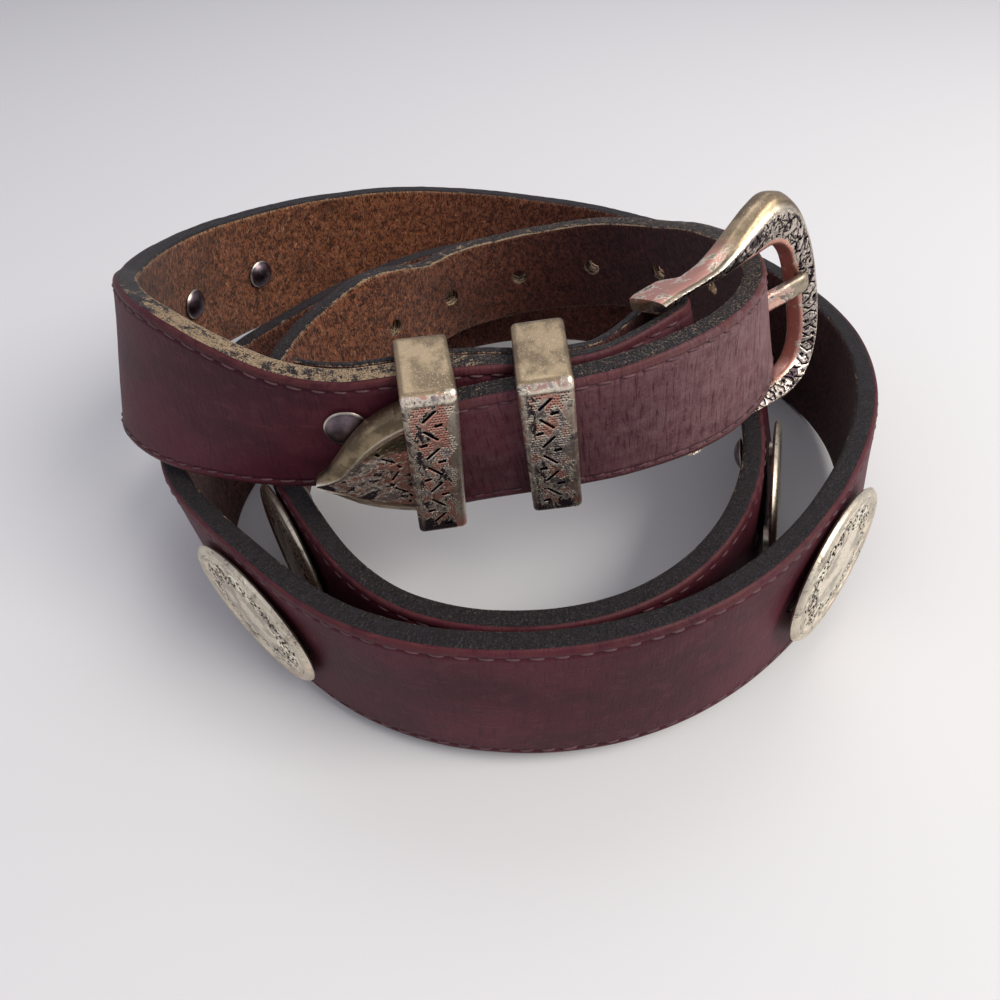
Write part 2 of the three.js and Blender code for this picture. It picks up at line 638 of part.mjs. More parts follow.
// Keeper: a rounded loop of metal round everything that runs through it
function keeperGeometry({ at, skew, spareBelow }) {
  const { middle, travel, across, out } = frameAt(at);
  const tilt = radians(skew);
  const up = across.clone().multiplyScalar(Math.cos(tilt)).addScaledVector(travel, Math.sin(tilt)).normalize();
  const forward = travel.clone().multiplyScalar(Math.cos(tilt)).addScaledVector(across, -Math.sin(tilt)).normalize();
  const bounds = { low: 1e9, high: -1e9, inner: 1e9, outer: -1e9 };
  for (const loops of [strapLoops(), tipLoops()]) {
    for (let i = 0; i < loops.length - 1; i++) {
      for (let j = 0; j < loops[i].length; j++) {
        for (const part of [0, 0.2, 0.4, 0.6, 0.8, 1]) {
          const offset = loops[i][j].clone().lerp(loops[i + 1][j], part).sub(middle);
          const beside = Math.abs(offset.dot(forward)) > KEEPER.width / 2 + 0.6;
          if (beside || Math.abs(offset.dot(up)) > 20 || offset.dot(out) < -15 || offset.dot(out) > 6) continue;
          bounds.low = Math.min(bounds.low, offset.dot(up));
          bounds.high = Math.max(bounds.high, offset.dot(up));
          bounds.inner = Math.min(bounds.inner, offset.dot(out));
          bounds.outer = Math.max(bounds.outer, offset.dot(out));
        }
      }
    }
  }
  const inside = { low: bounds.low - GAP - spareBelow, high: bounds.high + GAP };
  inside.inner = bounds.inner - GAP;
  inside.outer = bounds.outer + GAP;
  const roundedLoop = (grow, corner, at) => {
    const reach = [
      { tallAt: inside.high + grow - corner, outAt: inside.outer + grow - corner },
      { tallAt: inside.low - grow + corner, outAt: inside.outer + grow - corner },
      { tallAt: inside.low - grow + corner, outAt: inside.inner - grow + corner },
      { tallAt: inside.high + grow - corner, outAt: inside.inner - grow + corner },
    ];
    const loop = [];
    reach.forEach(({ tallAt, outAt }, quarter) => {
      for (let i = 0; i <= 3; i++) {
        const turn = (Math.PI / 2) * (quarter + i / 3);
        const tallPart = tallAt + corner * Math.cos(turn);
        const outPart = outAt + corner * Math.sin(turn);
        loop.push(along(middle, [up, tallPart], [out, outPart], [forward, at]));
      }
    });
    return loop;
  };
  const outer = solid(skin([-KEEPER.width / 2, KEEPER.width / 2].map((at) => roundedLoop(KEEPER.wall, KEEPER.corner, at))));
  const inner = solid(skin([-KEEPER.width, KEEPER.width].map((at) => roundedLoop(0, KEEPER.corner - KEEPER.wall, at))));
  return geometryOf(outer.subtract(inner));
}

// Outside of the tip, beveled towards its outer face
function tipLoops() {
  const parts = [0, 0.11, 0.22, 0.32, 0.42, 0.51, 0.6, 0.68, 0.76, 0.84, 0.9, 0.96, 1];
  return parts.map((part) => {
    const s = TIP.from + (TIP.to - TIP.from) * part;
    const { middle, across, out } = frameAt(s);
    const w = tipWidth(s) / 2;
    const bevel = Math.min(1.6, w * 0.55);
    const front = THICKNESS / 2 + 0.3 - 0.9 * between(part, 0.75, 1);
    const back = -THICKNESS / 2 + 0.1 + 0.9 * between(part, 0.6, 1);
    const corners = [
      [w - bevel, front], [w, front - 1.1], [w, back + 0.4], [w - 0.5 * bevel, back],
      [0.5 * bevel - w, back], [-w, back + 0.4], [-w, front - 1.1], [bevel - w, front],
    ];
    return corners.map(([u, n]) => along(middle, [across, u], [out, n]));
  });
}
function tipGeometry() {
  const outside = solid(skin(tipLoops()));
  const stations = [TIP.from - 2, TIP.from, TIP.from + 3, TIP.from + 7, TIP.from + 10, TIP.from + 13, TIP.from + 15.5, STRAP_END + 0.5];
  const pocket = solid(skin(stations.map((s) => {
    const { middle, across, out } = frameAt(s);
    return leatherLoop(middle, across, out, pocketWidth(Math.max(s, TIP.from)), TIP_LEATHER_THICKNESS + 0.6, false);
  })));
  return geometryOf(outside.subtract(pocket));
}

const LEATHER = new THREE.MeshStandardMaterial({ color: 0x46202b, roughness: 0.55, metalness: 0 });
const SILVER = new THREE.MeshStandardMaterial({ color: 0xa8a08c, roughness: 0.32, metalness: 0.9 });
const CREAM_SILVER = new THREE.MeshStandardMaterial({ color: 0xcfcab8, roughness: 0.35, metalness: 0.8 });
const GUNMETAL = new THREE.MeshStandardMaterial({ color: 0x55504e, roughness: 0.35, metalness: 0.9 });

const group = new THREE.Group();
group.name = "western_belt";
function add(name, geometry, material) {
  const mesh = new THREE.Mesh(geometry, material.clone());
  mesh.name = name;
  group.add(mesh);
}

add("strap", strapGeometry(), LEATHER);
add("buckle_frame", buckleGeometry(), SILVER);
add("prong", geometryOf(prong.body), SILVER);
for (const keeper of KEEPERS) add(keeper.name, keeperGeometry(keeper), SILVER);
add("tip", tipGeometry(), SILVER);

CONCHOS.forEach((concho, i) => {
  add(`concho_${i + 1}`, conchoGeometry(concho), CREAM_SILVER);
  ["a", "b"].forEach((letter, j) => {
    const { middle, out } = frameAt(concho.at + (j * 2 - 1) * CONCHO.screwSpread);
    const inward = out.clone().negate();
    const under = concho.screwsUnder ?? SCREW.under;
    const body = screwGeometry(middle, inward, THICKNESS / 2 + under, THICKNESS + under, SCREW.dome);
    add(`screw_${i + 1}${letter}`, geometryOf(body), GUNMETAL);
  });
});

// The fold's screw: domed cap on the outer face, flat post cap behind the folded-back layer
{
  const { middle, across, out } = frameAt(FOLD_SCREW.place);
  middle.addScaledVector(across, FOLD_SCREW.above);
  const front = thicknessAt(FOLD_SCREW.place) / 2 + GAP + 0.2;
  const depth = front + foldOffset(FOLD_SCREW.place) + foldThickness(FOLD_SCREW.place) / 2 + GAP + 0.1;
  const body = screwGeometry(middle, out, front, depth, FOLD_SCREW.dome);
  const behind = along(middle, [out, front - depth - 0.4]);
  add("fold_screw", geometryOf(body.add(solid(cylinder(behind, out, 3.4, 0.8, 10)))), GUNMETAL);
}

// The middle of the box that holds it all goes over the origin, its underside on the floor
const box = new THREE.Box3().setFromObject(group);
const centre = box.getCenter(v3(0, 0, 0));
for (const mesh of group.children) mesh.geometry.translate(-centre.x, -centre.y, -box.min.z);

export default group;
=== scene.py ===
"""Looks of a fastened western belt lying in a loose coil: stitched oxblood leather with a suede inside,
an engraved and worn buckle set, oval conchos and domed screw caps. Sizes below are in millimetres
unless a property says otherwise; meshes are made in metres in the shared frame."""

from collections import namedtuple
import math

import bpy
import numpy as np
from bpy.props import FloatProperty, FloatVectorProperty, PointerProperty
from mathutils import Matrix, Vector
from mathutils.kdtree import KDTree


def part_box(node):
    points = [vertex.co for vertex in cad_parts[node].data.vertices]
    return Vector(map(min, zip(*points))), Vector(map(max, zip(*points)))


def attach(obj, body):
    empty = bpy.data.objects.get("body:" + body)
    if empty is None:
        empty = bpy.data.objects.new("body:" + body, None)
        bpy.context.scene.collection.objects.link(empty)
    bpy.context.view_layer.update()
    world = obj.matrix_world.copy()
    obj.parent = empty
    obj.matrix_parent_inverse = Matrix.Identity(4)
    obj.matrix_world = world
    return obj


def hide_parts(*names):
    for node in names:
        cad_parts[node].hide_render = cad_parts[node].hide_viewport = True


bl_info = {
    "name": "Western belt looks",
    "version": (1, 0, 0),
    "blender": (4, 5, 0),
    "location": "View3D > Sidebar > Belt",
    "description": "Detailed leather, engraved metal and stage for a coiled western belt",
    "category": "Object",
}

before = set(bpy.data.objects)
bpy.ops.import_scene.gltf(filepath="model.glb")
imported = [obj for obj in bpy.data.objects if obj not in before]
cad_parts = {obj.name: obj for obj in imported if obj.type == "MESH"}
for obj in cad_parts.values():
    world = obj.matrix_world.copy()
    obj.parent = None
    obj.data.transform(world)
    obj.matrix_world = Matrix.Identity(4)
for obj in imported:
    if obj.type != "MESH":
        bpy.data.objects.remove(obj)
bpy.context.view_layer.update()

MM = 0.001
UP = np.array([0.0, 0.0, 1.0])

# The run of the strap: angle clockwise from the front round the middle of the coil, distance of the
# leather's middle from there, height of its lower edge over the floor, and lean (top outward is plus)
Place = namedtuple("Place", "angle radius foot lean")
RUN = {
    "front_top": [
        Place(-59, 39.3, 36.6, -16), Place(-32.7, 33.4, 34.2, -8), Place(-16.5, 30.2, 34, -1),
        Place(1.8, 28.9, 34.6, 3), Place(25, 32.3, 35, 6), Place(45, 42.8, 34.6, 3),
    ],
    "left_over": [
        Place(65, 56.3, 33.4, -8), Place(82, 68.2, 31.6, -19), Place(95, 75.2, 26.6, -19),
        Place(112, 81.6, 20, -10), Place(135, 86.3, 13.5, -4),
    ],
    "back_outer": [
        Place(160, 88, 8, 2), Place(190, 86, 2.5, 3), Place(220, 85.5, 0, 1), Place(245, 84, 0.5, -4),
    ],
    "right_outer": [
        Place(265, 81, 2, -9), Place(285, 75.5, 3, -11), Place(310, 69.5, 2, -8), Place(335, 67.5, 3, -5),
    ],
    "front_outer": [
        Place(360, 65.6, 3, -3), Place(385, 63.6, 2.5, -1), Place(405, 61.8, 1.5, -1),
        Place(420, 63.6, 0.5, 0),
    ],
    "left_floor": [
        Place(435, 66.4, 0, 3), Place(450, 66, 0, 4), Place(465, 62.8, 0, 4), Place(480, 59.5, 0, 4),
        Place(500, 58, 0.5, 3),
    ],
    "back_middle": [
        Place(520, 60.5, 0.5, 3), Place(545, 66, 0, 2), Place(570, 70, 0, 0), Place(595, 70.5, 0, -5),
    ],
    "right_inner": [
        Place(612, 66.6, 0, -13), Place(626, 60.6, 0, -19), Place(637, 57.2, 0, -18),
        Place(648, 56.4, 0, -14), Place(670, 58, 0, -9), Place(700, 61, 0, -6),
    ],
    "front_inner": [
        Place(720, 60, 0, -4), Place(740, 57.3, 0, -4), Place(765, 50.3, 0.3, -4), Place(785, 48.2, 2.2, -2),
    ],
    "left_inner": [
        Place(810, 46.6, 6.5, 1), Place(840, 41.8, 10, 2), Place(855, 41.3, 11.3, 2),
        Place(870, 44.2, 12.3, 1),
    ],
    "back_inner": [
        Place(885, 50.5, 12.6, 0), Place(900, 56, 12.9, -1), Place(915, 58.5, 15, -4),
        Place(933, 57.8, 20, -8), Place(950, 55.7, 24.5, -12),
    ],
    "right_rising": [
        Place(968.8, 52.9, 30.6, -16), Place(988.9, 51.2, 35.1, -18), Place(1010.4, 47.8, 36.9, -13),
        Place(1030.7, 42.6, 37.2, -6),
    ],
    "tail_over": [
        Place(1053, 37.1, 36, 1), Place(1080, 33.5, 33.3, 3), Place(1105, 38.5, 30.8, 4),
        Place(1121, 47.7, 28.8, 4),
    ],
}

# Leather; lengths along the strap start at the buckle's bar
FULL_THICKNESS = 4.1
FOLD_THICKNESS = 2.3
FOLD_END_THICKNESS = 1.1
FOLD_LENGTH = 69.0
FOLD_NARROWER = 0.6
TIP_LEATHER = 2.0
FRONT_WIDENS = (58.0, 98.0)
TAIL_NARROWS = (1018.0, 1044.0)
STRAP_END = 1249.5
GAP = 0.35
HOLE_RADIUS = 2.1
HOLE_PITCH = 21.6
HOLE_USED = 1157.0
HOLE_COUNT = 7

# Buckle set
BAR_RADIUS = 2.0
LOOP_RADIUS = 3.5
BUCKLE_YAW = 39.0
BUCKLE_NOSE = 6.0
BUCKLE_LEAN = -18.0
BUCKLE_RAISE = 3.0
BUCKLE_SETTLES = 60.0
PRONG_WIDTH = 3.6
PRONG_SPARE = 0.4
PRONG_LOOP_GAP = 0.42
PRONG_LOOP_THICKNESS = 1.3
LOOP_SLOT_RADIUS = 7.6
LOOP_SLOT_SPARE = 1.2
KEEPER_WIDTH = 8.6
KEEPER_WALL = 1.3
KEEPER_CORNER = 1.7
TIP_FROM = 1232.0
TIP_TO = 1253.8
TIP_WALL = 0.9
POCKET_SPARE = 0.8

# A keeper's place on the strap, its turn there in degrees and the seed of its marks, then how strong the
# painted highlight on its side bevel is, and how much of its face is rubbed, copper and dark
Keeper = namedtuple("Keeper", "name at skew seed shine rub copper dark")
KEEPERS = [
    Keeper("keeper_1", 1233.7, -9.0, 7, 1.0, 1.0, 0.62, 0.42),
    Keeper("keeper_2", 1214.2, -4.0, 37, 0.6, 0.4, 0.42, 0.3),
]

# A concho's place on the strap, how far it stands off the leather, and its screws' caps off the inside
Concho = namedtuple("Concho", "at lift screws_under")
CONCHOS = [
    Concho(171.0, 0.6, 0.58), Concho(304.0, 0.6, 0.58), Concho(437.0, 0.6, 0.58), Concho(554.5, 0.6, 0.4),
    Concho(693.0, 0.6, 0.58), Concho(832.0, 1.3, 0.7), Concho(954.5, 0.55, 0.7),
]
CONCHO_LONG = 35.0
CONCHO_TALL = 27.0
CONCHO_POST_RADIUS = 2.6
SCREW_SPREAD = 12.8
SCREW_RADIUS = 3.6
SCREW_DOME = 1.8
SHANK_RADIUS = 1.4
SHANK_HOLE = 1.95
PUNCH_LENGTH = 9.0
FOLD_SCREW_AT = 60.8
FOLD_SCREW_ABOVE = 3.0
FOLD_SCREW_DOME = 1.1
FOLD_SCREW_RADIUS = 3.8
POST_CAP_RADIUS = 3.4
POST_CAP_DOME = 0.8


def place_object(name, data):
    made = bpy.data.objects.new(name, data)
    bpy.context.scene.collection.objects.link(made)
    return made


def unit(vectors):
    return vectors / np.linalg.norm(vectors, axis=-1, keepdims=True)


def between(value, low, high):
    """From 0 at low to 1 at high, straight between and flat beyond."""
    return np.clip((np.asarray(value, float) - low) / (high - low), 0, 1)


def eased(value, low, high):
    """From 0 at low to 1 at high, soft between and flat beyond."""
    t = between(value, low, high)
    return t * t * (3 - 2 * t)


def smooth_curve(x, y):
    """Natural cubic curve through the points, as a function of an array."""
    x = np.array(x, float)
    y = np.array(y, float)
    h = np.diff(x)
    system = np.eye(len(x))
    right = np.zeros(len(x))
    for i in range(1, len(x) - 1):
        system[i, i - 1:i + 2] = h[i - 1], 2 * (h[i - 1] + h[i]), h[i]
        right[i] = 6 * ((y[i + 1] - y[i]) / h[i] - (y[i] - y[i - 1]) / h[i - 1])
    bend = np.linalg.solve(system, right)

    def curve(at):
        i = np.clip(np.searchsorted(x, at, side="right") - 1, 0, len(x) - 2)
        a = (x[i + 1] - at) / h[i]
        b = 1 - a
        swing = (a ** 3 - a) * bend[i] + (b ** 3 - b) * bend[i + 1]
        return a * y[i] + b * y[i + 1] + swing * h[i] ** 2 / 6
    return curve


def steady_curve(x, y):
    """Curve through the points that never swings past them, as a function of an array."""
    x = np.array(x, float)
    y = np.array(y, float)
    h = np.diff(x)
    slope = np.diff(y) / h
    tangent = np.zeros(len(x))
    for i in range(1, len(x) - 1):
        if slope[i - 1] * slope[i] > 0:
            tangent[i] = 2 * slope[i - 1] * slope[i] / (slope[i - 1] + slope[i])

    def curve(at):
        i = np.clip(np.searchsorted(x, at, side="right") - 1, 0, len(x) - 2)
        t = (at - x[i]) / h[i]
        ease = t * t * (3 - 2 * t)
        start = t * (1 - t) ** 2 * h[i]
        stop = t * t * (t - 1) * h[i]
        return y[i] + (y[i + 1] - y[i]) * ease + tangent[i] * start + tangent[i + 1] * stop
    return curve


def wavy(x, y, size, seed):
    """Smooth repeatable unevenness between -1 and 1 over two lengths."""
    draw = np.random.default_rng(seed)
    total = np.zeros(np.broadcast(x, y).shape)
    for _ in range(9):
        turn = draw.uniform(0, 2 * math.pi)
        wave = size * draw.uniform(0.6, 1.6)
        total = total + np.sin((x * math.cos(turn) + y * math.sin(turn)) * 2 * math.pi / wave + turn * 7)
    return total / 5


def buckle_axes():
    """The buckle's directions: ahead from the bar to the far rim, tall along the bar, face outward."""
    yaw = math.radians(BUCKLE_YAW)
    nose = math.radians(BUCKLE_NOSE)
    lean = math.radians(BUCKLE_LEAN)
    level = np.array([math.cos(yaw), math.sin(yaw), 0])
    ahead = level * math.cos(nose) + UP * math.sin(nose)
    aside = np.array([math.sin(yaw), -math.cos(yaw), 0])
    risen = unit(np.cross(aside, ahead))
    if risen[2] < 0:
        risen = -risen
    tall = risen * math.cos(lean) + aside * math.sin(lean)
    face = aside * math.cos(lean) - risen * math.sin(lean)
    return ahead, tall, face


AHEAD, TALL, FACE = buckle_axes()
Spot = namedtuple("Spot", "middle travel across out")


class Run:
    """The middle of the leather: its place, travel, across and out at each length from the bar."""

    def __init__(self, body_width, tail_width):
        self.body_width = body_width
        self.tail_width = tail_width
        rows = [row for stretch in RUN.values() for row in stretch]
        angles = [row.angle for row in rows]
        count = round((angles[-1] - angles[0]) / 0.5)
        self.angle = np.linspace(angles[0], angles[-1], count + 1)
        radius = smooth_curve(angles, [row.radius for row in rows])(self.angle)
        lean = smooth_curve(angles, [row.lean for row in rows])(self.angle)
        foot = steady_curve(angles, [row.foot for row in rows])(self.angle)
        turn = np.radians(self.angle)
        self.place = np.stack([-radius * np.sin(turn), -radius * np.cos(turn), foot], axis=1)
        steps = np.linalg.norm(np.diff(self.place, axis=0), axis=1)
        self.s = np.concatenate([[0], np.cumsum(steps)])
        self.lean = np.radians(lean)
        half = self.width(self.s) / 2
        self.place[:, 2] += half * np.cos(self.lean) + FULL_THICKNESS / 2 * np.abs(np.sin(self.lean))

    def width(self, s):
        front = self.tail_width + (self.body_width - self.tail_width) * eased(s, *FRONT_WIDENS)
        tail = self.body_width + (self.tail_width - self.body_width) * eased(s, *TAIL_NARROWS)
        return np.where(np.asarray(s) < TAIL_NARROWS[0], front, tail)

    def thickness(self, s):
        thick = FOLD_THICKNESS + (FULL_THICKNESS - FOLD_THICKNESS) * eased(s, 4, 46)
        inside_tip = between(s, TIP_FROM - 0.6, TIP_FROM - 0.4)
        return thick + (TIP_LEATHER - thick) * inside_tip

    def at(self, s):
        s = np.asarray(s, float)
        held = np.clip(s, 0, self.s[-1])
        low = np.clip(np.searchsorted(self.s, held, side="left") - 1, 0, len(self.s) - 2)
        t = ((held - self.s[low]) / (self.s[low + 1] - self.s[low]))[..., None]
        middle = self.place[low] * (1 - t) + self.place[low + 1] * t
        before = self.place[np.maximum(low - 2, 0)]
        after = self.place[np.minimum(low + 3, len(self.s) - 1)]
        travel = unit(after - before)
        sideways = unit(np.cross(UP, travel))
        upright = np.cross(travel, sideways)
        lean = (self.lean[low] * (1 - t[..., 0]) + self.lean[low + 1] * t[..., 0])[..., None]
        across = upright * np.cos(lean) + sideways * np.sin(lean)
        square = (1 - eased(s, 0, BUCKLE_SETTLES))[..., None]
        across = unit(across * (1 - square) + TALL * square)
        travel = unit(travel - across * np.sum(travel * across, axis=-1, keepdims=True))
        out = np.cross(across, travel)
        return Spot(middle + travel * (s - held)[..., None], travel, across, out)


class Piece:
    """Mesh data in the coil's frame in millimetres: points, faces, a finish per face and named values
    per point."""

    def __init__(self):
        self.points = []
        self.faces = []
        self.finish = []
        self.values = {}
        self.count = 0

    def add(self, points, faces, finish=0, **values):
        """Adds points (n, 3), faces as lists of their numbers, and values (n,) or (n, 3)."""
        points = np.asarray(points, float).reshape(-1, 3)
        for face in faces:
            self.faces.append([int(i) + self.count for i in face])
        self.finish += list(finish) if hasattr(finish, "__len__") else [finish] * len(faces)
        for name, value in values.items():
            value = np.asarray(value, float)
            size = 3 if value.shape[-1:] == (3,) and value.size == len(points) * 3 else 1
            if value.size == 1:
                value = np.full(len(points), float(value))
            self.values.setdefault(name, []).append((self.count, value.reshape(len(points), size)))
        self.points.append(points)
        self.count += len(points)

    def value_array(self, name):
        parts = self.values[name]
        whole = np.zeros((self.count, parts[0][1].shape[1]))
        for start, value in parts:
            whole[start:start + len(value)] = value
        return whole


def grid_faces(rings, size, closed_rings=False):
    """Faces of a skin over rings that all have size points, with flat ends unless the rings close."""
    faces = []
    last = rings if closed_rings else rings - 1
    for i in range(last):
        a = i * size
        b = ((i + 1) % rings) * size
        for j in range(size):
            k = (j + 1) % size
            faces.append((a + j, a + k, b + k, b + j))
    if not closed_rings:
        faces.append(tuple(range(size - 1, -1, -1)))
        faces.append(tuple(range((rings - 1) * size, rings * size)))
    return faces


class Belt:
    """What every piece needs: the run of the leather and the way from the coil's frame to the shared one."""

    def __init__(self, leather):
        self.leather = leather
        self.run = Run(leather.body_width / MM, leather.tail_width / MM)
        start = self.run.at(0.0)
        self.start = start
        self.bar = start.middle - start.out * LOOP_RADIUS
        s = np.arange(0, TIP_FROM, 0.5)
        spots = self.run.at(s)
        half = (self.run.width(s) / 2)[:, None]
        thick = (self.run.thickness(s) / 2)[:, None]
        ends = [(a, b) for a in (-1, 1) for b in (-1, 1)]
        corners = [spots.middle + spots.across * half * a + spots.out * thick * b for a, b in ends]
        corners = np.concatenate(corners)
        own = (corners.min(axis=0) + corners.max(axis=0)) / 2
        low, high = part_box("strap")
        cad = np.array((low + high) / 2) / MM
        self.shift = np.array([cad[0] - own[0], cad[1] - own[1], 0.0])

    def in_buckle(self, u, v, n):
        u, v, n = np.broadcast_arrays(u, v, n)
        return self.bar + u[..., None] * AHEAD + v[..., None] * TALL + n[..., None] * FACE

    def to_shared(self, points):
        return (np.asarray(points) + self.shift) * MM

    def from_shared(self, points):
        return np.asarray(points) / MM - self.shift

    def fold_thickness(self, s):
        return FOLD_THICKNESS + (FOLD_END_THICKNESS - FOLD_THICKNESS) * eased(s, 8, FOLD_LENGTH)

    def fold_offset(self, s):
        lying = self.run.thickness(s) / 2 + GAP + 0.2 + self.fold_thickness(s) / 2
        return lying + (2 * LOOP_RADIUS - lying) * np.exp(-((s / 13) ** 2))

    def make(self, name, piece, paints, replaces, sharp=None):
        """Makes the Blender object of a piece, rides it on the root and gives it its finish."""
        points = self.to_shared(np.concatenate(piece.points))
        mesh = bpy.data.meshes.new(name)
        mesh.from_pydata(points.tolist(), [], piece.faces)
        mesh.polygons.foreach_set("material_index", piece.finish)
        mesh.polygons.foreach_set("use_smooth", [True] * len(piece.faces))
        for value in piece.values:
            array = piece.value_array(value)
            kind = "FLOAT_VECTOR" if array.shape[1] == 3 else "FLOAT"
            layer = mesh.attributes.new(value, kind, "POINT")
            layer.data.foreach_set("vector" if kind == "FLOAT_VECTOR" else "value", array.ravel())
        for paint in paints:
            mesh.materials.append(paint.material)
        mesh.validate()
        if sharp:
            mesh.set_sharp_from_angle(angle=math.radians(sharp))
        made = place_object(name, mesh)
        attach(made, "root")
        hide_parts(*replaces)
        return made


class Number:
    """A number socket in a material, with maths written as Python expressions."""

    def __init__(self, paint, socket):
        self.paint = paint
        self.socket = socket

    def maths(self, operation, *values):
        node = self.paint.node("ShaderNodeMath", {"operation": operation}, dict(enumerate(values)))
        return Number(self.paint, node.outputs[0])

    def __add__(self, other):
        return self.maths("ADD", self, other)

    __radd__ = __add__

    def __sub__(self, other):
        return self.maths("SUBTRACT", self, other)

    def __rsub__(self, other):
        return self.maths("SUBTRACT", other, self)

    def __mul__(self, other):
        return self.maths("MULTIPLY", self, other)

    __rmul__ = __mul__

    def __abs__(self):
        return self.maths("ABSOLUTE", self)

    def most(self, other):
        return self.maths("MAXIMUM", self, other)

    def step(self, low, high):
        """From 0 at low to 1 at high, soft between and flat beyond, also where low is above high."""
        settings = {"interpolation_type": "SMOOTHSTEP", "clamp": True}
        first, last = (low, high) if low < high else (high, low)
        ends = (0.0, 1.0) if low < high else (1.0, 0.0)
        values = {"Value": self, "From Min": first, "From Max": last, "To Min": ends[0], "To Max": ends[1]}
        return Number(self.paint, self.paint.node("ShaderNodeMapRange", settings, values).outputs[0])


class Paint:
    """A material being made: every node comes from one method, colours are mixed and numbers are
    expressions."""

    def __init__(self, name, metallic=0.0, **fixed):
        self.material = bpy.data.materials.new(name)
        self.material.use_nodes = True
        self.tree = self.material.node_tree
        self.surface = next(n for n in self.tree.nodes if n.type == "BSDF_PRINCIPLED")
        self.feed(self.surface, {"Metallic": metallic})
        self.feed(self.surface, {name.replace("_", " "): value for name, value in fixed.items()})

    def node(self, kind, settings=None, values=None):
        made = self.tree.nodes.new(kind)
        for name, value in (settings or {}).items():
            setattr(made, name, value)
        self.feed(made, values or {})
        return made

    def feed(self, node, values):
        for key, value in values.items():
            source = getattr(value, "socket", value)
            if isinstance(source, bpy.types.NodeSocket):
                self.tree.links.new(source, node.inputs[key])
            elif hasattr(value, "__len__") and len(value) == 3 and len(node.inputs[key].default_value) == 4:
                node.inputs[key].default_value = (*value, 1.0)
            else:
                node.inputs[key].default_value = value

    def number(self, name):
        """A named value of the mesh's points."""
        node = self.node("ShaderNodeAttribute", {"attribute_name": name})
        return Number(self, node.outputs["Fac"])

    def vector(self, name):
        """A named vector of the mesh's points."""
        return self.node("ShaderNodeAttribute", {"attribute_name": name}).outputs["Vector"]

    def scaled(self, place, size):
        inverse = tuple(1 / part for part in size)
        return self.node("ShaderNodeVectorMath", {"operation": "MULTIPLY"}, {0: place, 1: inverse}).outputs[0]

    def noise(self, place, size, detail=3.0, roughness=0.55, twist=0.0):
        """Uneven pattern from 0 to 1 whose marks are size long along each part of place."""
        values = {
            "Vector": self.scaled(place, size), "Scale": 1.0, "Detail": detail, "Roughness": roughness,
            "Distortion": twist,
        }
        return Number(self, self.node("ShaderNodeTexNoise", {}, values).outputs[0])

    def cells(self, place, size):
        """Distance from the nearest of scattered points."""
        values = {"Vector": self.scaled(place, size), "Scale": 1.0}
        return Number(self, self.node("ShaderNodeTexVoronoi", {}, values).outputs["Distance"])

    def mix(self, first, second, factor):
        """Colour from first to second as factor goes from 0 to 1."""
        node = self.node("ShaderNodeMix", {"data_type": "RGBA"}, {0: factor, 6: first, 7: second})
        return node.outputs[2]

    def bump(self, height, distance, strength):
        values = {"Height": height, "Distance": distance * MM, "Strength": strength}
        return self.node("ShaderNodeBump", {}, values).outputs[0]

    def finish(self, colour, roughness, normal=None):
        values = {"Base Color": colour, "Roughness": roughness}
        if normal is not None:
            values["Normal"] = normal
        self.feed(self.surface, values)
        return self


def shade(colour, factor):
    """The same colour, lighter or darker."""
    return tuple(part * factor for part in colour)


def paint_grain(leather):
    """Smooth oiled outer face: fine creases across the strap with painted shade in them, worn lighter towards
    its bevelled edges, with a painted grey-pink sheen along the tail.
    """
    paint = Paint("oxblood_grain", Coat_Weight=0.03, Coat_Roughness=0.35, Specular_IOR_Level=0.14)
    place = paint.vector("place")
    edge = paint.number("edge")
    dusty = paint.number("dusty")
    broad = paint.noise(place, (34, 17, 9), 3)
    mottle = paint.noise(place, (2.6, 2.2, 3), 5, 0.62)
    creases = paint.noise(place, (0.55, 5.0, 2), 4, 0.62, 0.5)
    pores = paint.noise(place, (0.3, 0.42, 0.4), 3, 0.6)
    scuffs = paint.noise(place, (7, 0.5, 1), 5, 0.65, 0.5)
    nicks = paint.cells(place, (2.6, 3.4, 3))
    outer = leather.outer_colour
    base = paint.mix(shade(outer, 0.7), shade(outer, 1.3), broad.step(0.36, 0.64))
    base = paint.mix(base, leather.outer_worn, mottle.step(0.52, 0.66) * 0.4)
    sheen_mottle = (mottle * 0.5 + creases * 0.3 + pores * 0.4).step(0.3, 0.85)
    # Painted sheen: a grey-pink sheen laid on the smooth face along the tail, broken up by the grain
    base = paint.mix(base, leather.dusty_colour, dusty * sheen_mottle)
    # Painted shade darkens the creases
    base = paint.mix(base, shade(outer, 0.4), creases.step(0.45, 0.36) * (dusty * 0.1 + 0.45))
    bevel = edge.step(2.2, 0.5)
    base = paint.mix(base, leather.bevel_colour, bevel * mottle.step(0.38, 0.56) * (dusty * 0.3 + 0.6))
    base = paint.mix(base, shade(outer, 0.2), edge.step(0.34, 0.14) * 0.8)
    base = paint.mix(base, shade(leather.bevel_colour, 1.8), scuffs.step(0.6, 0.68) * 0.35)
    base = paint.mix(base, shade(outer, 0.25), nicks.step(0.09, 0.03) * 0.5)
    roughness = 0.4 + pores * 0.16 + broad * 0.12 - bevel * 0.06
    height = creases * (dusty * 0.6 + 0.7) + pores * 0.34 + mottle * 0.3 - nicks.step(0.12, 0.02) * 0.4
    return paint.finish(base, roughness, paint.bump(height, 0.2, 0.85))


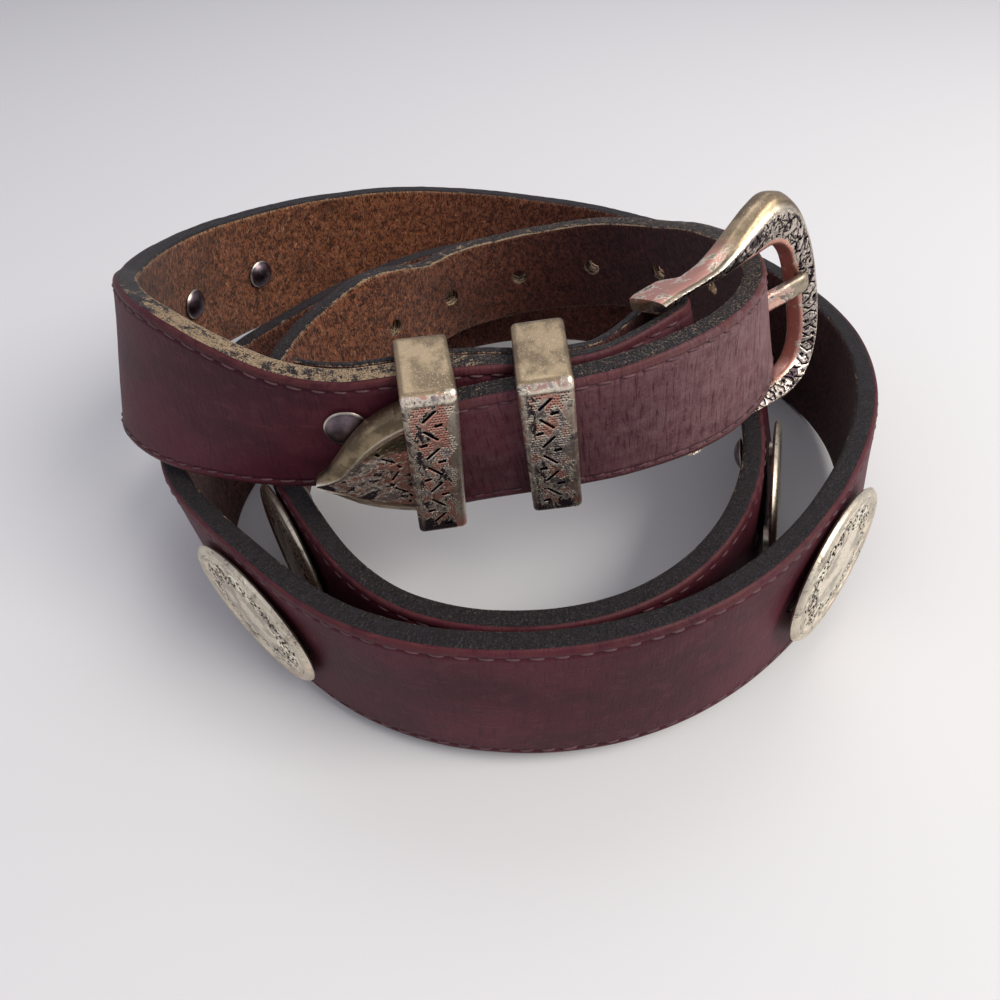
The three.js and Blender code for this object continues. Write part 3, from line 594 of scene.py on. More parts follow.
def paint_suede(leather):
    """Napped inner face: short raised fibres in light and dark flecks, darker where shade is painted on it.
    """
    paint = Paint("suede_inside", Sheen_Weight=0.12, Sheen_Roughness=0.5, Specular_IOR_Level=0.1)
    place = paint.vector("place")
    age = paint.number("age")
    edge = paint.number("edge")
    swirl = paint.node("ShaderNodeTexNoise", {}, {
        "Vector": paint.scaled(place, (2.6, 2.6, 2.6)), "Scale": 1.0, "Detail": 2.0,
    }).outputs[1]
    bent = paint.node("ShaderNodeVectorMath", {"operation": "MULTIPLY_ADD"}, {
        0: swirl, 1: (2.2, 2.2, 2.2), 2: place,
    }).outputs[0]
    flecks = paint.noise(bent, (0.34, 0.8, 0.6), 4, 0.62, 0.4)
    fibres = paint.noise(bent, (0.2, 1.3, 0.5), 3, 0.55, 0.8)
    clumps = paint.noise(bent, (1.2, 1.5, 1.4), 5, 0.68)
    broad = paint.noise(place, (20, 12, 9), 3)
    # Painted light and shade: the nap mixes from its lit colour to its shaded colour by the shade painted
    # along the strap
    lit = paint.mix(leather.suede_lit, leather.suede_aged, age)
    deep = paint.mix(shade(leather.suede_lit, 0.14), shade(leather.suede_aged, 0.32), age)
    nap = (flecks * 0.6 + clumps * 0.45).step(0.44, 0.62)
    base = paint.mix(deep, lit, nap)
    pale = paint.mix(leather.suede_pale, shade(leather.suede_aged, 2.0), age)
    base = paint.mix(base, pale, fibres.step(0.57, 0.66) * clumps.step(0.42, 0.6) * 0.75)
    base = paint.mix(base, deep, broad.step(0.52, 0.7) * 0.4)
    base = paint.mix(base, pale, edge.step(1.3, 0.3) * flecks.step(0.4, 0.6) * (0.7 - age * 0.4))
    height = flecks * 0.9 + clumps * 0.8 + fibres * 0.5
    return paint.finish(base, 0.95, paint.bump(height, 0.5, 0.8))


def paint_edge(leather):
    """Cut and dyed edge: black, coarse and glinting, rubbed through to pale fibres along worn stretches."""
    paint = Paint("dyed_edge", Specular_IOR_Level=0.42)
    place = paint.vector("place")
    depth = paint.number("depth")
    worn = paint.number("worn")
    dusty = paint.number("dusty")
    grit = paint.noise(place, (0.3, 0.3, 0.26), 4, 0.7)
    flecks = paint.noise(place, (0.42, 0.42, 0.36), 5, 0.75)
    strokes = paint.noise(place, (0.26, 0.5, 1.5), 4, 0.65)
    patches = paint.noise(place, (2.6, 1.5, 1.5), 5, 0.7)
    crumbs = paint.cells(place, (0.5, 0.5, 0.5))
    dye = leather.edge_colour
    base = paint.mix(shade(dye, 0.4), shade(dye, 1.8), strokes.step(0.42, 0.6))
    base = paint.mix(base, leather.glint_colour, flecks.step(0.56, 0.62) * (worn * 0.55 + 0.35))
    # Pale specks are rubbed fibres where the edge is worn; along the tail the painted sheen adds pale and
    # black specks as painted glints
    base = paint.mix(base, leather.raw_colour, grit.step(0.58, 0.63) * (dusty * 0.7 + worn * 0.5 + 0.1))
    base = paint.mix(base, shade(dye, 0.3), grit.step(0.46, 0.42) * (dusty * 0.7 + 0.2))
    corner = abs(depth).step(0.66, 0.9)
    raw = (worn * 0.22 + patches * 0.5 + grit * 0.3 + corner * 0.1).step(0.55, 0.6)
    fibre = paint.mix(shade(leather.raw_colour, 0.4), leather.raw_colour, grit.step(0.4, 0.56))
    base = paint.mix(base, fibre, raw)
    roughness = 0.38 + grit * 0.3 + raw * 0.35
    height = grit * 1.0 + strokes * 0.7 + flecks * 0.7 - crumbs * 0.5
    return paint.finish(base, roughness, paint.bump(height, 0.5, 1.0))


def paint_raw(leather):
    """Undyed leather inside the punched holes, about half of it painted dark as shade in the holes."""
    paint = Paint("raw_leather_and_hole_shade")
    place = paint.vector("place")
    fibres = paint.noise(place, (0.35, 0.35, 0.5), 4, 0.65)
    # Dark patches are painted shade inside the holes; the pale fibres are the undyed leather
    base = paint.mix(shade(leather.suede_aged, 0.5), shade(leather.raw_colour, 1.1), fibres.step(0.48, 0.56))
    return paint.finish(base, 0.9, paint.bump(fibres, 0.3, 0.9))


def paint_thread(leather):
    """Waxed thread, two plies twisted along each stitch."""
    paint = Paint("waxed_thread")
    place = paint.vector("place")
    plies = paint.noise(place, (0.3, 0.2, 0.2), 2)
    wear = paint.noise(place, (9, 3, 3), 3)
    base = paint.mix(shade(leather.thread_colour, 0.55), leather.thread_colour, plies.step(0.35, 0.6))
    base = paint.mix(base, shade(leather.thread_colour, 2.1), wear.step(0.55, 0.7) * 0.5)
    return paint.finish(base, 0.5, paint.bump(plies, 0.12, 0.8))


Section = namedtuple("Section", "side inset face drop finish")
GRAIN, EDGE, SUEDE, RAW = 0, 1, 2, 3


def leather_section(groove_inset, groove_depth):
    """Points round the leather's section from the middle of its outer face: how far towards an edge (side),
    inset from it, which face they hang from, how far below that face, and the finish of what follows."""
    corner = [(1.2, 0.0), (0.95, 0.03), (0.7, 0.1), (0.45, 0.22), (0.24, 0.42)]
    groove = [(0.45, 0.03), (0.22, 0.62), (0.0, 1.0), (-0.22, 0.62), (-0.45, 0.03)]
    rows = [(groove_inset + 2.6, 0.0), (groove_inset + 1.5, 0.0), (groove_inset + 0.8, 0.0)]
    rows += [(groove_inset + inset, groove_depth * part) for inset, part in groove]
    rows += corner
    half = [Section(part, groove_inset + 2.6, 1, 0.0, GRAIN) for part in (0.0, 0.25, 0.5, 0.75)]
    half += [Section(1, inset, 1, drop, GRAIN) for inset, drop in rows]
    front_edge = [(0.1, 0.7), (0, 1.05), (0, 1.55), (0, 2.05)]
    back_edge = [(0, 1.55), (0, 1.05), (0, 0.62), (0.12, 0.34)]
    inside = [(0.36, 0.12), (0.7, 0.0), (1.8, 0.0), (3.6, 0.0)]
    half += [Section(1, inset, 1, drop, EDGE) for inset, drop in front_edge]
    half += [Section(1, inset, -1, drop, EDGE) for inset, drop in back_edge]
    half += [Section(1, inset, -1, drop, SUEDE) for inset, drop in inside]
    half += [Section(part, 3.6, -1, 0.0, SUEDE) for part in (0.78, 0.52, 0.26)]
    middle = Section(0, 3.6, -1, 0.0, SUEDE)
    back = []
    for before, row in zip(half, half[1:]):
        back.append(row._replace(side=-row.side, finish=before.finish))
    return half + [middle._replace(finish=SUEDE)] + back[::-1]


# How much shade is painted on the suede along the strap (none where it is painted lit), where the edge is
# rubbed pale, and where a grey-pink sheen is painted on the smooth face
Along = namedtuple("Along", "s amount")
PAINTED_SUEDE_SHADE = [
    Along(-80, 0.9), Along(60, 0.85), Along(120, 0.35), Along(165, 0.0), Along(225, 0.12), Along(275, 0.55),
    Along(330, 0.85), Along(560, 0.8), Along(640, 0.5), Along(700, 0.75), Along(800, 0.9), Along(985, 0.55),
    Along(1010, 0.15), Along(1040, 0.3), Along(1065, 0.6), Along(1100, 0.9), Along(1260, 1.0),
]
RUBBED = [
    Along(-80, 0.3), Along(30, 0.25), Along(46, 0.8), Along(90, 0.95), Along(104, 0.5), Along(125, 0.25),
    Along(150, 0.05), Along(560, 0.05), Along(640, 0.1), Along(980, 0.15), Along(1015, 0.35),
    Along(1040, 0.55), Along(1120, 0.45), Along(1180, 0.3), Along(1260, 0.25),
]
PAINTED_SHEEN = [
    Along(-80, 0), Along(20, 0.2), Along(50, 0), Along(1060, 0), Along(1100, 0.6), Along(1130, 1.0),
    Along(1160, 1.0), Along(1185, 0.8), Along(1208, 0.45), Along(1226, 0.25), Along(1260, 0),
]


def amount(rows, s):
    """The rows' amount at each length, straight between them."""
    return np.interp(s, [row.s for row in rows], [row.amount for row in rows])


Ring = namedtuple("Ring", "middle across out width thick label")


def strap_piece(belt):
    """The whole strap in one skin: folded layer, turn round the bar, body, tail and the end in the tip."""
    run = belt.run
    leather = belt.leather
    section = leather_section(leather.stitch_inset / MM, leather.groove_depth / MM)
    side = np.array([row.side for row in section], float)
    inset = np.array([row.inset for row in section], float)
    face = np.array([row.face for row in section], float)
    drop = np.array([row.drop for row in section], float)
    rings = []
    for s in FOLD_LENGTH * (1 - np.arange(44) / 44) ** 1.2:
        spot = run.at(s)
        centre = spot.middle - spot.out * belt.fold_offset(s)
        rings.append(Ring(centre, spot.across, -spot.out, run.width(s) - FOLD_NARROWER,
                          belt.fold_thickness(s), -s))
    start = belt.start
    for i in range(20):
        turn = math.pi * (1 - i / 20)
        out = start.out * math.cos(turn) - start.travel * math.sin(turn)
        width = run.tail_width - FOLD_NARROWER * turn / math.pi
        rings.append(Ring(belt.bar + out * LOOP_RADIUS, start.across, out, width, FOLD_THICKNESS, 0))
    body = np.concatenate([np.arange(0, TIP_FROM - 2, 1.55), TIP_FROM - np.array([1.2, 0.6, 0.4])])
    for s in body:
        spot = run.at(s)
        width = run.width(s) if s < TIP_FROM - 0.5 else pocket_width(TIP_FROM) - POCKET_SPARE
        rings.append(Ring(spot.middle, spot.across, spot.out, width, run.thickness(s), s))
    for s in TIP_FROM + (STRAP_END - TIP_FROM) * np.array([0.15, 0.4, 0.62, 0.8, 0.93, 1]):
        spot = run.at(s)
        width = pocket_width(s) - POCKET_SPARE
        rings.append(Ring(spot.middle, spot.across, spot.out, width, TIP_LEATHER, s))
    middle, across, out = (np.array([row[i] for row in rings]) for i in range(3))
    width, thick, label = (np.array([row[i] for row in rings], float)[:, None] for i in range(3, 6))
    half = width / 2
    u = side * (half - inset)
    n = face * (thick / 2 - drop * np.minimum(1, thick / FULL_THICKNESS))
    cut = (np.abs(side) == 1) & (drop > 0.3)
    draw = np.random.default_rng(11)
    rough = draw.uniform(0, 0.13, u.shape) * cut
    edge_wave = 0.12 * (wavy(label, side * 40, 17, 5) + 1) * (np.abs(side) == 1)
    u = u - side * (rough + edge_wave * 0.6)
    body_wave = 0.11 * wavy(label, u, 24, 8) * ((face > 0) & (inset > 1))
    n = n - np.maximum(body_wave, -0.05)
    points = middle[:, None] + across[:, None] * u[..., None] + out[:, None] * n[..., None]
    # The rounded lower edge is pressed flat where it stands on the floor
    pressed = 0.9
    height = points[..., 2]
    points[..., 2] = np.where(height < 2 * pressed, np.maximum(0, 2 * (height - pressed)), height)
    count = len(section)
    faces = grid_faces(len(rings), count)
    finish = [row.finish for row in section] * (len(rings) - 1) + [EDGE, EDGE]
    lengths = label + u * 0
    places = np.stack([lengths, u, n], axis=-1)
    piece = Piece()
    # Per point: shade painted on the suede, rubbed wear on the edge, and the sheen painted on the smooth face
    piece.add(
        points, faces, finish,
        place=places, edge=np.abs(half - np.abs(u)), depth=2 * n / thick,
        age=amount(PAINTED_SUEDE_SHADE, lengths), worn=amount(RUBBED, lengths), dusty=amount(PAINTED_SHEEN, lengths),
    )
    return piece


# How wide the metal of the tip is at each part of its length
Outline = namedtuple("Outline", "part width")
TIP_OUTLINE = [
    Outline(0, 25.2), Outline(0.22, 24.6), Outline(0.42, 21.4), Outline(0.6, 16.4), Outline(0.76, 10.6),
    Outline(0.9, 5.0), Outline(1, 1.6),
]


def tip_part(s):
    return (np.asarray(s, float) - TIP_FROM) / (TIP_TO - TIP_FROM)


def tip_width(s):
    return np.interp(tip_part(s), [row.part for row in TIP_OUTLINE], [row.width for row in TIP_OUTLINE])


def pocket_width(s):
    return np.maximum(tip_width(s) - 2 * TIP_WALL - 1.2 * between(s, TIP_FROM + 6, STRAP_END), 2.4)


def rod_mesh(piece, middle, axis, radius, length, sides, **values):
    """A plain round rod, closed at both ends."""
    helper = UP if abs(axis[2]) < 0.9 else np.array([1.0, 0, 0])
    a = unit(np.cross(helper, axis))
    b = np.cross(axis, a)
    turn = np.arange(sides) * 2 * math.pi / sides
    circle = radius * (np.cos(turn)[:, None] * a + np.sin(turn)[:, None] * b)
    points = np.concatenate([middle - axis * length / 2 + circle, middle + axis * length / 2 + circle])
    piece.add(points, grid_faces(2, sides), 0, **values)


def cut_holes(belt, strap):
    """Punches the holes for prong and screws and opens the fold for the prong's loop."""
    run = belt.run
    cutter = Piece()
    for i in range(HOLE_COUNT):
        spot = run.at(HOLE_USED - HOLE_PITCH * i)
        rod_mesh(cutter, spot.middle, spot.out, HOLE_RADIUS, PUNCH_LENGTH, 28)
    for concho in CONCHOS:
        for where in (-1, 1):
            spot = run.at(concho.at + where * SCREW_SPREAD)
            rod_mesh(cutter, spot.middle, spot.out, SHANK_HOLE, PUNCH_LENGTH, 16)
    spot = run.at(FOLD_SCREW_AT)
    fold = spot.middle - spot.out * 3 + spot.across * FOLD_SCREW_ABOVE
    rod_mesh(cutter, fold, spot.out, SHANK_HOLE, 16, 16)
    rod_mesh(cutter, belt.bar, TALL, LOOP_SLOT_RADIUS, PRONG_WIDTH + LOOP_SLOT_SPARE, 28)
    room = Piece()
    rows = [row for row in PRONG_SIDE if row.ahead > 0]
    points = []
    for i, row in enumerate(rows):
        u = row.ahead + (PRONG_SPARE if i == len(rows) - 1 else 0)
        w = PRONG_WIDTH / 2 + PRONG_SPARE
        low = row.low - PRONG_SPARE
        high = row.high + PRONG_SPARE
        corners = [(w, low), (w, high), (-w, high), (-w, low)]
        points += [belt.in_buckle(u, row.drift + v, n) for v, n in corners]
    room.add(points, grid_faces(len(rows), 4))
    tools = []
    for name, piece in (("cutter", cutter), ("prong_room", room)):
        mesh = bpy.data.meshes.new(name)
        mesh.from_pydata(belt.to_shared(np.concatenate(piece.points)).tolist(), [], piece.faces)
        mesh.materials.append(strap.data.materials[RAW])
        tools.append(place_object(name, mesh))
    before = strap.data.copy()
    for each in tools:
        modifier = strap.modifiers.new("holes", "BOOLEAN")
        modifier.operation = "DIFFERENCE"
        modifier.solver = "EXACT"
        modifier.object = each
        modifier.material_mode = "TRANSFER"
    bpy.context.view_layer.update()
    evaluated = strap.evaluated_get(bpy.context.evaluated_depsgraph_get())
    after = bpy.data.meshes.new_from_object(evaluated)
    strap.modifiers.clear()
    strap.data = after
    carry_values(before, after)
    for each in tools:
        bpy.data.objects.remove(each)
    if len(after.polygons) < 1000:
        raise RuntimeError("the strap vanished when its holes were cut")
    after.set_sharp_from_angle(angle=math.radians(50))


def carry_values(before, after):
    """Gives each point of the cut mesh the values of the nearest point of the mesh before it was cut."""
    tree = KDTree(len(before.vertices))
    for i, vertex in enumerate(before.vertices):
        tree.insert(vertex.co, i)
    tree.balance()
    nearest = np.array([tree.find(vertex.co)[1] for vertex in after.vertices])
    layouts = {"FLOAT": (1, "value"), "FLOAT_VECTOR": (3, "vector")}
    for layer in before.attributes:
        if layer.domain != "POINT" or layer.name == "position" or layer.data_type not in layouts:
            continue
        wide, word = layouts[layer.data_type]
        values = np.zeros(len(before.vertices) * wide, np.float32)
        layer.data.foreach_get(word, values)
        values = values.reshape(-1, wide)[nearest].ravel()
        target = after.attributes.get(layer.name)
        if not target:
            target = after.attributes.new(layer.name, layer.data_type, "POINT")
        target.data.foreach_set(word, values)


def stitch_piece(belt):
    """Two rows of stitches on the outer face, each a plump slanted thread that dives in at both ends."""
    run = belt.run
    leather = belt.leather
    pitch = leather.stitch_pitch / MM
    inset = leather.stitch_inset / MM
    radius = leather.thread_radius / MM
    draw = np.random.default_rng(21)
    along = np.array([-1, -0.93, -0.72, -0.3, 0.3, 0.72, 0.93, 1])
    dive = np.array([1, 0.72, 0.22, 0, 0, 0.22, 0.72, 1])
    plump = np.array([0.55, 0.75, 0.95, 1, 1, 0.95, 0.75, 0.55])
    turn = np.arange(7) * 2 * math.pi / 7
    piece = Piece()
    for row, phase in ((1, 0.0), (-1, 0.45)):
        centres = np.arange(3.0 + phase * pitch, TIP_FROM - 3, pitch)
        centres = centres + draw.uniform(-0.12, 0.12, len(centres))
        reach = pitch * 0.36 + draw.uniform(-0.08, 0.08, len(centres))
        s = centres[:, None] + reach[:, None] * along
        spot = run.at(s)
        slant = 0.13 * along * row
        u = row * (run.width(s) / 2 - inset) + slant
        n = run.thickness(s) / 2 - 0.1 - 0.5 * dive
        middle = spot.middle + spot.across * u[..., None] + spot.out * n[..., None]
        wide = (radius * plump)[None, :, None, None]
        circle = spot.across[:, :, None] * np.cos(turn)[:, None]
        circle = circle + spot.out[:, :, None] * np.sin(turn)[:, None]
        points = middle[:, :, None] + circle * wide
        points[..., 2] = np.maximum(points[..., 2], 0.02)
        label = np.broadcast_to(s[:, :, None], points.shape[:-1])
        spin = np.broadcast_to(turn * 0.4, points.shape[:-1])
        places = np.stack([label + spin * 1.2, np.broadcast_to(u[:, :, None], label.shape), spin], axis=-1)
        one = grid_faces(len(along), len(turn))
        size = len(along) * len(turn)
        faces = [tuple(i + k * size for i in face) for k in range(len(centres)) for face in one]
        piece.add(points, faces, 0, place=places)
    return piece


class Engraving:
    """Cut marks on a flat development: strokes with ends and a half width, and round or oval pricks."""

    def __init__(self):
        self.strokes = []

    def stroke(self, a, b, to_a, to_b, half):
        self.strokes.append((a, b, to_a, to_b, half))

    def dash(self, a, b, length, degrees, half):
        da = math.cos(math.radians(degrees)) * length / 2
        db = math.sin(math.radians(degrees)) * length / 2
        self.stroke(a - da, b - db, a + da, b + db, half)

    def prick(self, a, b, half):
        self.stroke(a, b, a + 0.01, b, half)

    def curl(self, a, b, size, degrees, hand, half, turns=1.25):
        """A small scroll that opens from its eye."""
        points = []
        for t in np.linspace(0, 1, 11):
            angle = math.radians(degrees) + hand * 2 * math.pi * turns * t
            radius = size * (0.16 + 0.84 * t)
            points.append((a + radius * math.cos(angle), b + radius * math.sin(angle)))
        for (x, y), (p, q) in zip(points, points[1:]):
            self.stroke(x, y, p, q, half)

    def cut(self, a, b, soft=0.1):
        """How deep each place is cut, 0 to 1."""
        shape = np.shape(a)
        a = np.ravel(a)
        b = np.ravel(b)
        deep = np.zeros(len(a))
        for x, y, p, q, half in self.strokes:
            reach = half + soft
            near = (a > min(x, p) - reach) & (a < max(x, p) + reach)
            near &= (b > min(y, q) - reach) & (b < max(y, q) + reach)
            if not near.any():
                continue
            dx, dy = p - x, q - y
            t = np.clip(((a[near] - x) * dx + (b[near] - y) * dy) / max(dx * dx + dy * dy, 1e-9), 0, 1)
            gap = np.hypot(a[near] - x - t * dx, b[near] - y - t * dy)
            deep[near] = np.maximum(deep[near], np.clip((half + soft / 2 - gap) / soft, 0, 1))
        return deep.reshape(shape)


CUT_COLOUR = (0.005, 0.004, 0.006)
PLATE_VALUES = ("engraved", "front", "bright", "rubbed", "grime", "stain")
PLAIN_PLATE = dict.fromkeys(PLATE_VALUES, 0)


def paint_plate(name, metal, plain, face, copper_share, dark_share, rough):
    """Old plated casting: bright on raised lines and under painted highlights, dull and speckled on plain
    parts, worn through to pink copper and dark base in patches with ragged bright borders, black in every
    cut."""
    paint = Paint(name, 1.0)
    place = paint.vector("place")
    cut, front, bright, rubbed, grime, stain = (paint.number(value) for value in PLATE_VALUES)
    blotch = paint.noise(place, (3.4, 2.6, 3.0), 7, 0.66, 0.3)
    other = paint.noise(place, (3.0, 2.1, 2.4), 8, 0.7, 0.5)
    specks = paint.noise(place, (0.5, 0.5, 0.5), 4, 0.7)
    dust = paint.noise(place, (0.22, 0.22, 0.22), 3, 0.6)
    haze = paint.noise(place, (5, 4, 5), 4, 0.6)
    base = paint.mix(plain, shade(plain, 0.55), haze.step(0.42, 0.6))
    base = paint.mix(base, shade(metal.copper_colour, 0.5), specks.step(0.54, 0.62) * 0.55)
    base = paint.mix(base, metal.cream_colour, (specks * 0.4 + dust * 0.6).step(0.56, 0.62) * 0.6)
    pale = paint.mix(shade(face, 1.5), shade(face, 0.62), haze.step(0.42, 0.58))
    pale = paint.mix(pale, metal.cream_colour, (specks * 0.5 + dust * 0.5).step(0.54, 0.6) * 0.7)
    base = paint.mix(base, pale, front)
    worn = blotch + rubbed * 0.16
    line = 0.62 - copper_share * 0.24
    shown = front.most(rubbed.step(0.2, 0.4))
    copper = worn.step(line, line + 0.012) * shown
    border = abs(worn - line).step(0.034, 0.014) * shown
    base = paint.mix(base, metal.copper_colour, copper)
    base = paint.mix(base, metal.cream_colour, border * 0.9)
    # Dark patches grow with this value, which rises towards the keepers' bottoms, the buckle's upper block
    # end and the points of prong and tip
    black = other + grime * 0.15
    line = 0.62 - dark_share * 0.24
    dark = black.step(line, line + 0.012) * front
    border = abs(black - line).step(0.03, 0.012) * front * specks.step(0.42, 0.5)
    bare = paint.mix(metal.dark_colour, shade(metal.dark_colour, 0.4), dust.step(0.4, 0.6))
    base = paint.mix(base, bare, dark)
    base = paint.mix(base, metal.cream_colour, border * 0.8)
    olive = paint.mix(metal.olive_colour, shade(metal.olive_colour, 0.45), haze.step(0.42, 0.56))
    base = paint.mix(base, olive, stain * (other * 0.6 + stain * 0.3).step(0.42, 0.5))
    base = paint.mix(base, metal.cream_colour, bright * (blotch * 0.5 + specks * 0.5).step(0.4, 0.5))
    base = paint.mix(base, CUT_COLOUR, cut.step(0.25, 0.6))
    roughness = haze * 0.18 + rough + dark * 0.12 + cut * 0.3 + specks * 0.14 - bright * 0.05
    height = specks * 0.3 + blotch * 0.2 + dust * 0.1 - copper * 0.3 - dark * 0.15
    return paint.finish(base, roughness, paint.bump(height, 0.12, 0.8))


def paint_screw(metal):
    """Polished gunmetal cap with fine scratches and a bright rim."""
    paint = Paint("gunmetal_cap", 1.0)
    place = paint.vector("place")
    bright = paint.number("bright")
    fine = paint.noise(place, (0.15, 1.8, 1.8), 4, 0.6, 0.6)
    haze = paint.noise(place, (2.2, 2.2, 2.2), 5, 0.6)
    base = paint.mix(shade(metal.screw_colour, 0.65), shade(metal.screw_colour, 1.35), haze.step(0.35, 0.7))
    base = paint.mix(base, metal.cream_colour, bright * 0.8)
    roughness = 0.2 + haze * 0.14 + fine * 0.12
    return paint.finish(base, roughness, paint.bump(fine + haze, 0.03, 0.5))


# The frame's outline from the block end over the bar round the far rim to the one under it, and how low
# its back lies there
CAST_BACK = -2.5
Rim = namedtuple("Rim", "outer_ahead outer_tall inner_ahead inner_tall back", defaults=[CAST_BACK])
OUTLINE = [
    Rim(-4.8, 15.2, -4.8, 12.9, -5.2), Rim(-3.4, 15.3, -3.4, 12.8, -5.4), Rim(1.8, 15.0, 2.4, 12.5, -5.4),
    Rim(4.6, 14.8, 4.8, 12.4), Rim(8.0, 14.9, 8.0, 11.9), Rim(12.4, 15.9, 12.0, 11.3),
    Rim(15.8, 17.1, 15.2, 11.1), Rim(18.8, 18.2, 18.2, 11.0), Rim(22.4, 19.4, 21.6, 11.0),
    Rim(25.8, 20.0, 24.6, 10.9), Rim(28.8, 19.1, 27.4, 10.2), Rim(31.6, 16.6, 29.4, 8.6),
    Rim(33.6, 13.2, 30.6, 6.3), Rim(35.2, 8.4, 31.1, 3.6), Rim(36.1, 3.4, 31.3, 0.6),
    Rim(36.3, -1.0, 31.4, -2.6), Rim(36.0, -5.6, 31.5, -6.0), Rim(35.2, -10.0, 31.2, -9.0),
    Rim(33.6, -14.0, 30.2, -11.8), Rim(31.2, -17.2, 28.4, -13.8), Rim(27.8, -19.4, 25.6, -14.9),
    Rim(24.0, -20.0, 22.4, -15.1), Rim(20.4, -19.2, 19.0, -15.0), Rim(16.0, -18.2, 15.2, -14.9),
    Rim(12.0, -17.2, 11.6, -14.6), Rim(8.0, -16.4, 8.0, -14.2), Rim(4.6, -16.0, 4.8, -13.9),
    Rim(1.8, -15.9, 2.4, -13.8, -5.4), Rim(-3.4, -15.9, -3.4, -13.6, -5.4),
    Rim(-4.8, -15.6, -4.8, -13.6, -5.2),
]

# Section of the casting from its back over the outer wall and the crown down the engraved slope
Cast = namedtuple("Cast", "part height steps")
CAST_SECTION = [
    Cast(0.1, CAST_BACK, 2), Cast(0.0, -1.7, 5), Cast(0.0, 0.2, 5), Cast(0.12, 1.7, 5), Cast(0.34, 2.6, 12),
    Cast(0.6, 2.1, 14), Cast(0.92, 0.9, 4), Cast(1.0, 0.2, 5), Cast(1.0, -1.9, 2), Cast(0.9, CAST_BACK, 4),
]


def round_section(rows):
    """Closed rounded curve through the rows of a section, with each row's own number of steps after it."""
    places = np.array([(row.part, row.height) for row in rows], float)
    made = []
    for i, row in enumerate(rows):
        a, b, c, d = (places[(i + k) % len(rows)] for k in (-1, 0, 1, 2))
        for t in np.arange(row.steps) / row.steps:
            even = 0.5 * (2 * b + (c - a) * t + (2 * a - 5 * b + 4 * c - d) * t ** 2
                          + (3 * b - a - 3 * c + d) * t ** 3)
            straight = b + (c - b) * t
            made.append(even * 0.6 + straight * 0.4)
    return np.array(made)


def buckle_piece(belt):
    """Domed horseshoe frame: polished outer wall, engraved slope, copper inside; its bar is cast in."""
    table = np.array(OUTLINE, float)
    centre = (table[:, :2] + table[:, 2:4]) / 2
    length = np.concatenate([[0], np.cumsum(np.linalg.norm(np.diff(centre, axis=0), axis=1))])
    stations = np.linspace(0, length[-1], 430)
    columns = [steady_curve(length, table[:, i])(stations)[:, None] for i in range(5)]
    section = round_section(CAST_SECTION)
    part = section[:, 0][None]
    height = section[:, 1][None] + 0 * stations[:, None]
    deeper = np.clip((0.2 - height) / 2.7, 0, 1)
    height = height + (columns[4] - CAST_BACK) * deeper
    u = columns[0] + (columns[2] - columns[0]) * part
    v = columns[1] + (columns[3] - columns[1]) * part
    wide = np.hypot(columns[0] - columns[2], columns[1] - columns[3])
    a = stations[:, None] + 0 * part
    b = part * wide
    marks = Engraving()
    draw = np.random.default_rng(31)
    for i, at in enumerate(np.arange(3.0, length[-1] - 2, 1.5)):
        here = float(np.interp(at, stations, wide[:, 0]))
        low, high = here * 0.36, here * 0.9
        room = high - low
        rows = max(2, round(room / 1.5))
        for j in range(rows):
            across = low + room * (j + 0.5) / rows + draw.uniform(-0.2, 0.2)
            way = 1 if (i + j) % 2 else -1
            if (i + 2 * j) % 5 == 3:
                marks.curl(at, across, 0.42, 80 * i, way, 0.1)
            else:
                marks.dash(at + draw.uniform(-0.2, 0.2), across, draw.uniform(1.0, 1.6), 90 + 35 * way, 0.14)
        for _ in range(int(room * 3)):
            marks.prick(at + draw.uniform(-0.7, 0.7), draw.uniform(low, high), 0.09)
    slope = eased(part, 0.3, 0.38) * (1 - eased(part, 0.86, 0.92)) * (height > 0.4)
    cut = marks.cut(a, b, 0.12) * slope
    height = height - 0.22 * cut
    inner = eased(part, 0.84, 0.9) * (height > -2.2)
    # The bright crown along the ridge is partly polish and partly a painted highlight
    crown = np.exp(-((part - 0.3) / 0.07) ** 2) * (height > 1.5)
    ends = eased(length[-1] - np.abs(a * 2 - length[-1]), 60, 20)
    rubbed = inner - slope * 1.2 + eased(part, 0.4, 0.05) * 0.45 * ends
    points = belt.in_buckle(u, v, height + BUCKLE_RAISE)
    piece = Piece()
    count = part.shape[1]
    places = np.stack([a, b, height], axis=-1)
    piece.add(
        points, grid_faces(len(stations), count), 0, place=places, engraved=cut,
        front=np.clip(slope + inner, 0, 1), bright=crown * 0.75, rubbed=np.clip(rubbed, -1, 1),
        grime=slope * 0.3 - inner * 0.6 + eased(a, 40, 0) * 0.5,
        stain=np.clip(np.exp(-((part - 0.2) / 0.07) ** 2) + inner * eased(a / length[-1], 0.62, 0.8), 0, 1),
    )
    blank = {**PLAIN_PLATE, "rubbed": 0.2}
    rod_mesh(piece, belt.bar - 0.5 * TALL, TALL, BAR_RADIUS, 28.8, 32, place=np.zeros((64, 3)), **blank)
    return piece


# The prong from its side: distance ahead of the bar, height of its back and face, part of its full width,
# and how far it has drifted along the bar
Side = namedtuple("Side", "ahead low high wide drift")
PRONG_SIDE = [
    Side(-0.6, 2.47, 3.7, 1, 0), Side(4, 1.7, 3.5, 1, 0), Side(10, 0.5, 2.5, 1, 0), Side(17, -0.2, 1.9, 1, 0),
    Side(22, 0.3, 2.4, 1, 0.1), Side(26, 2.0, 4.1, 1, 0.6), Side(29.2, 3.6, 5.5, 1, 1.1),
    Side(31.2, 4.35, 6.0, 0.92, 1.4), Side(32.2, 4.8, 5.6, 0.66, 1.5),
]


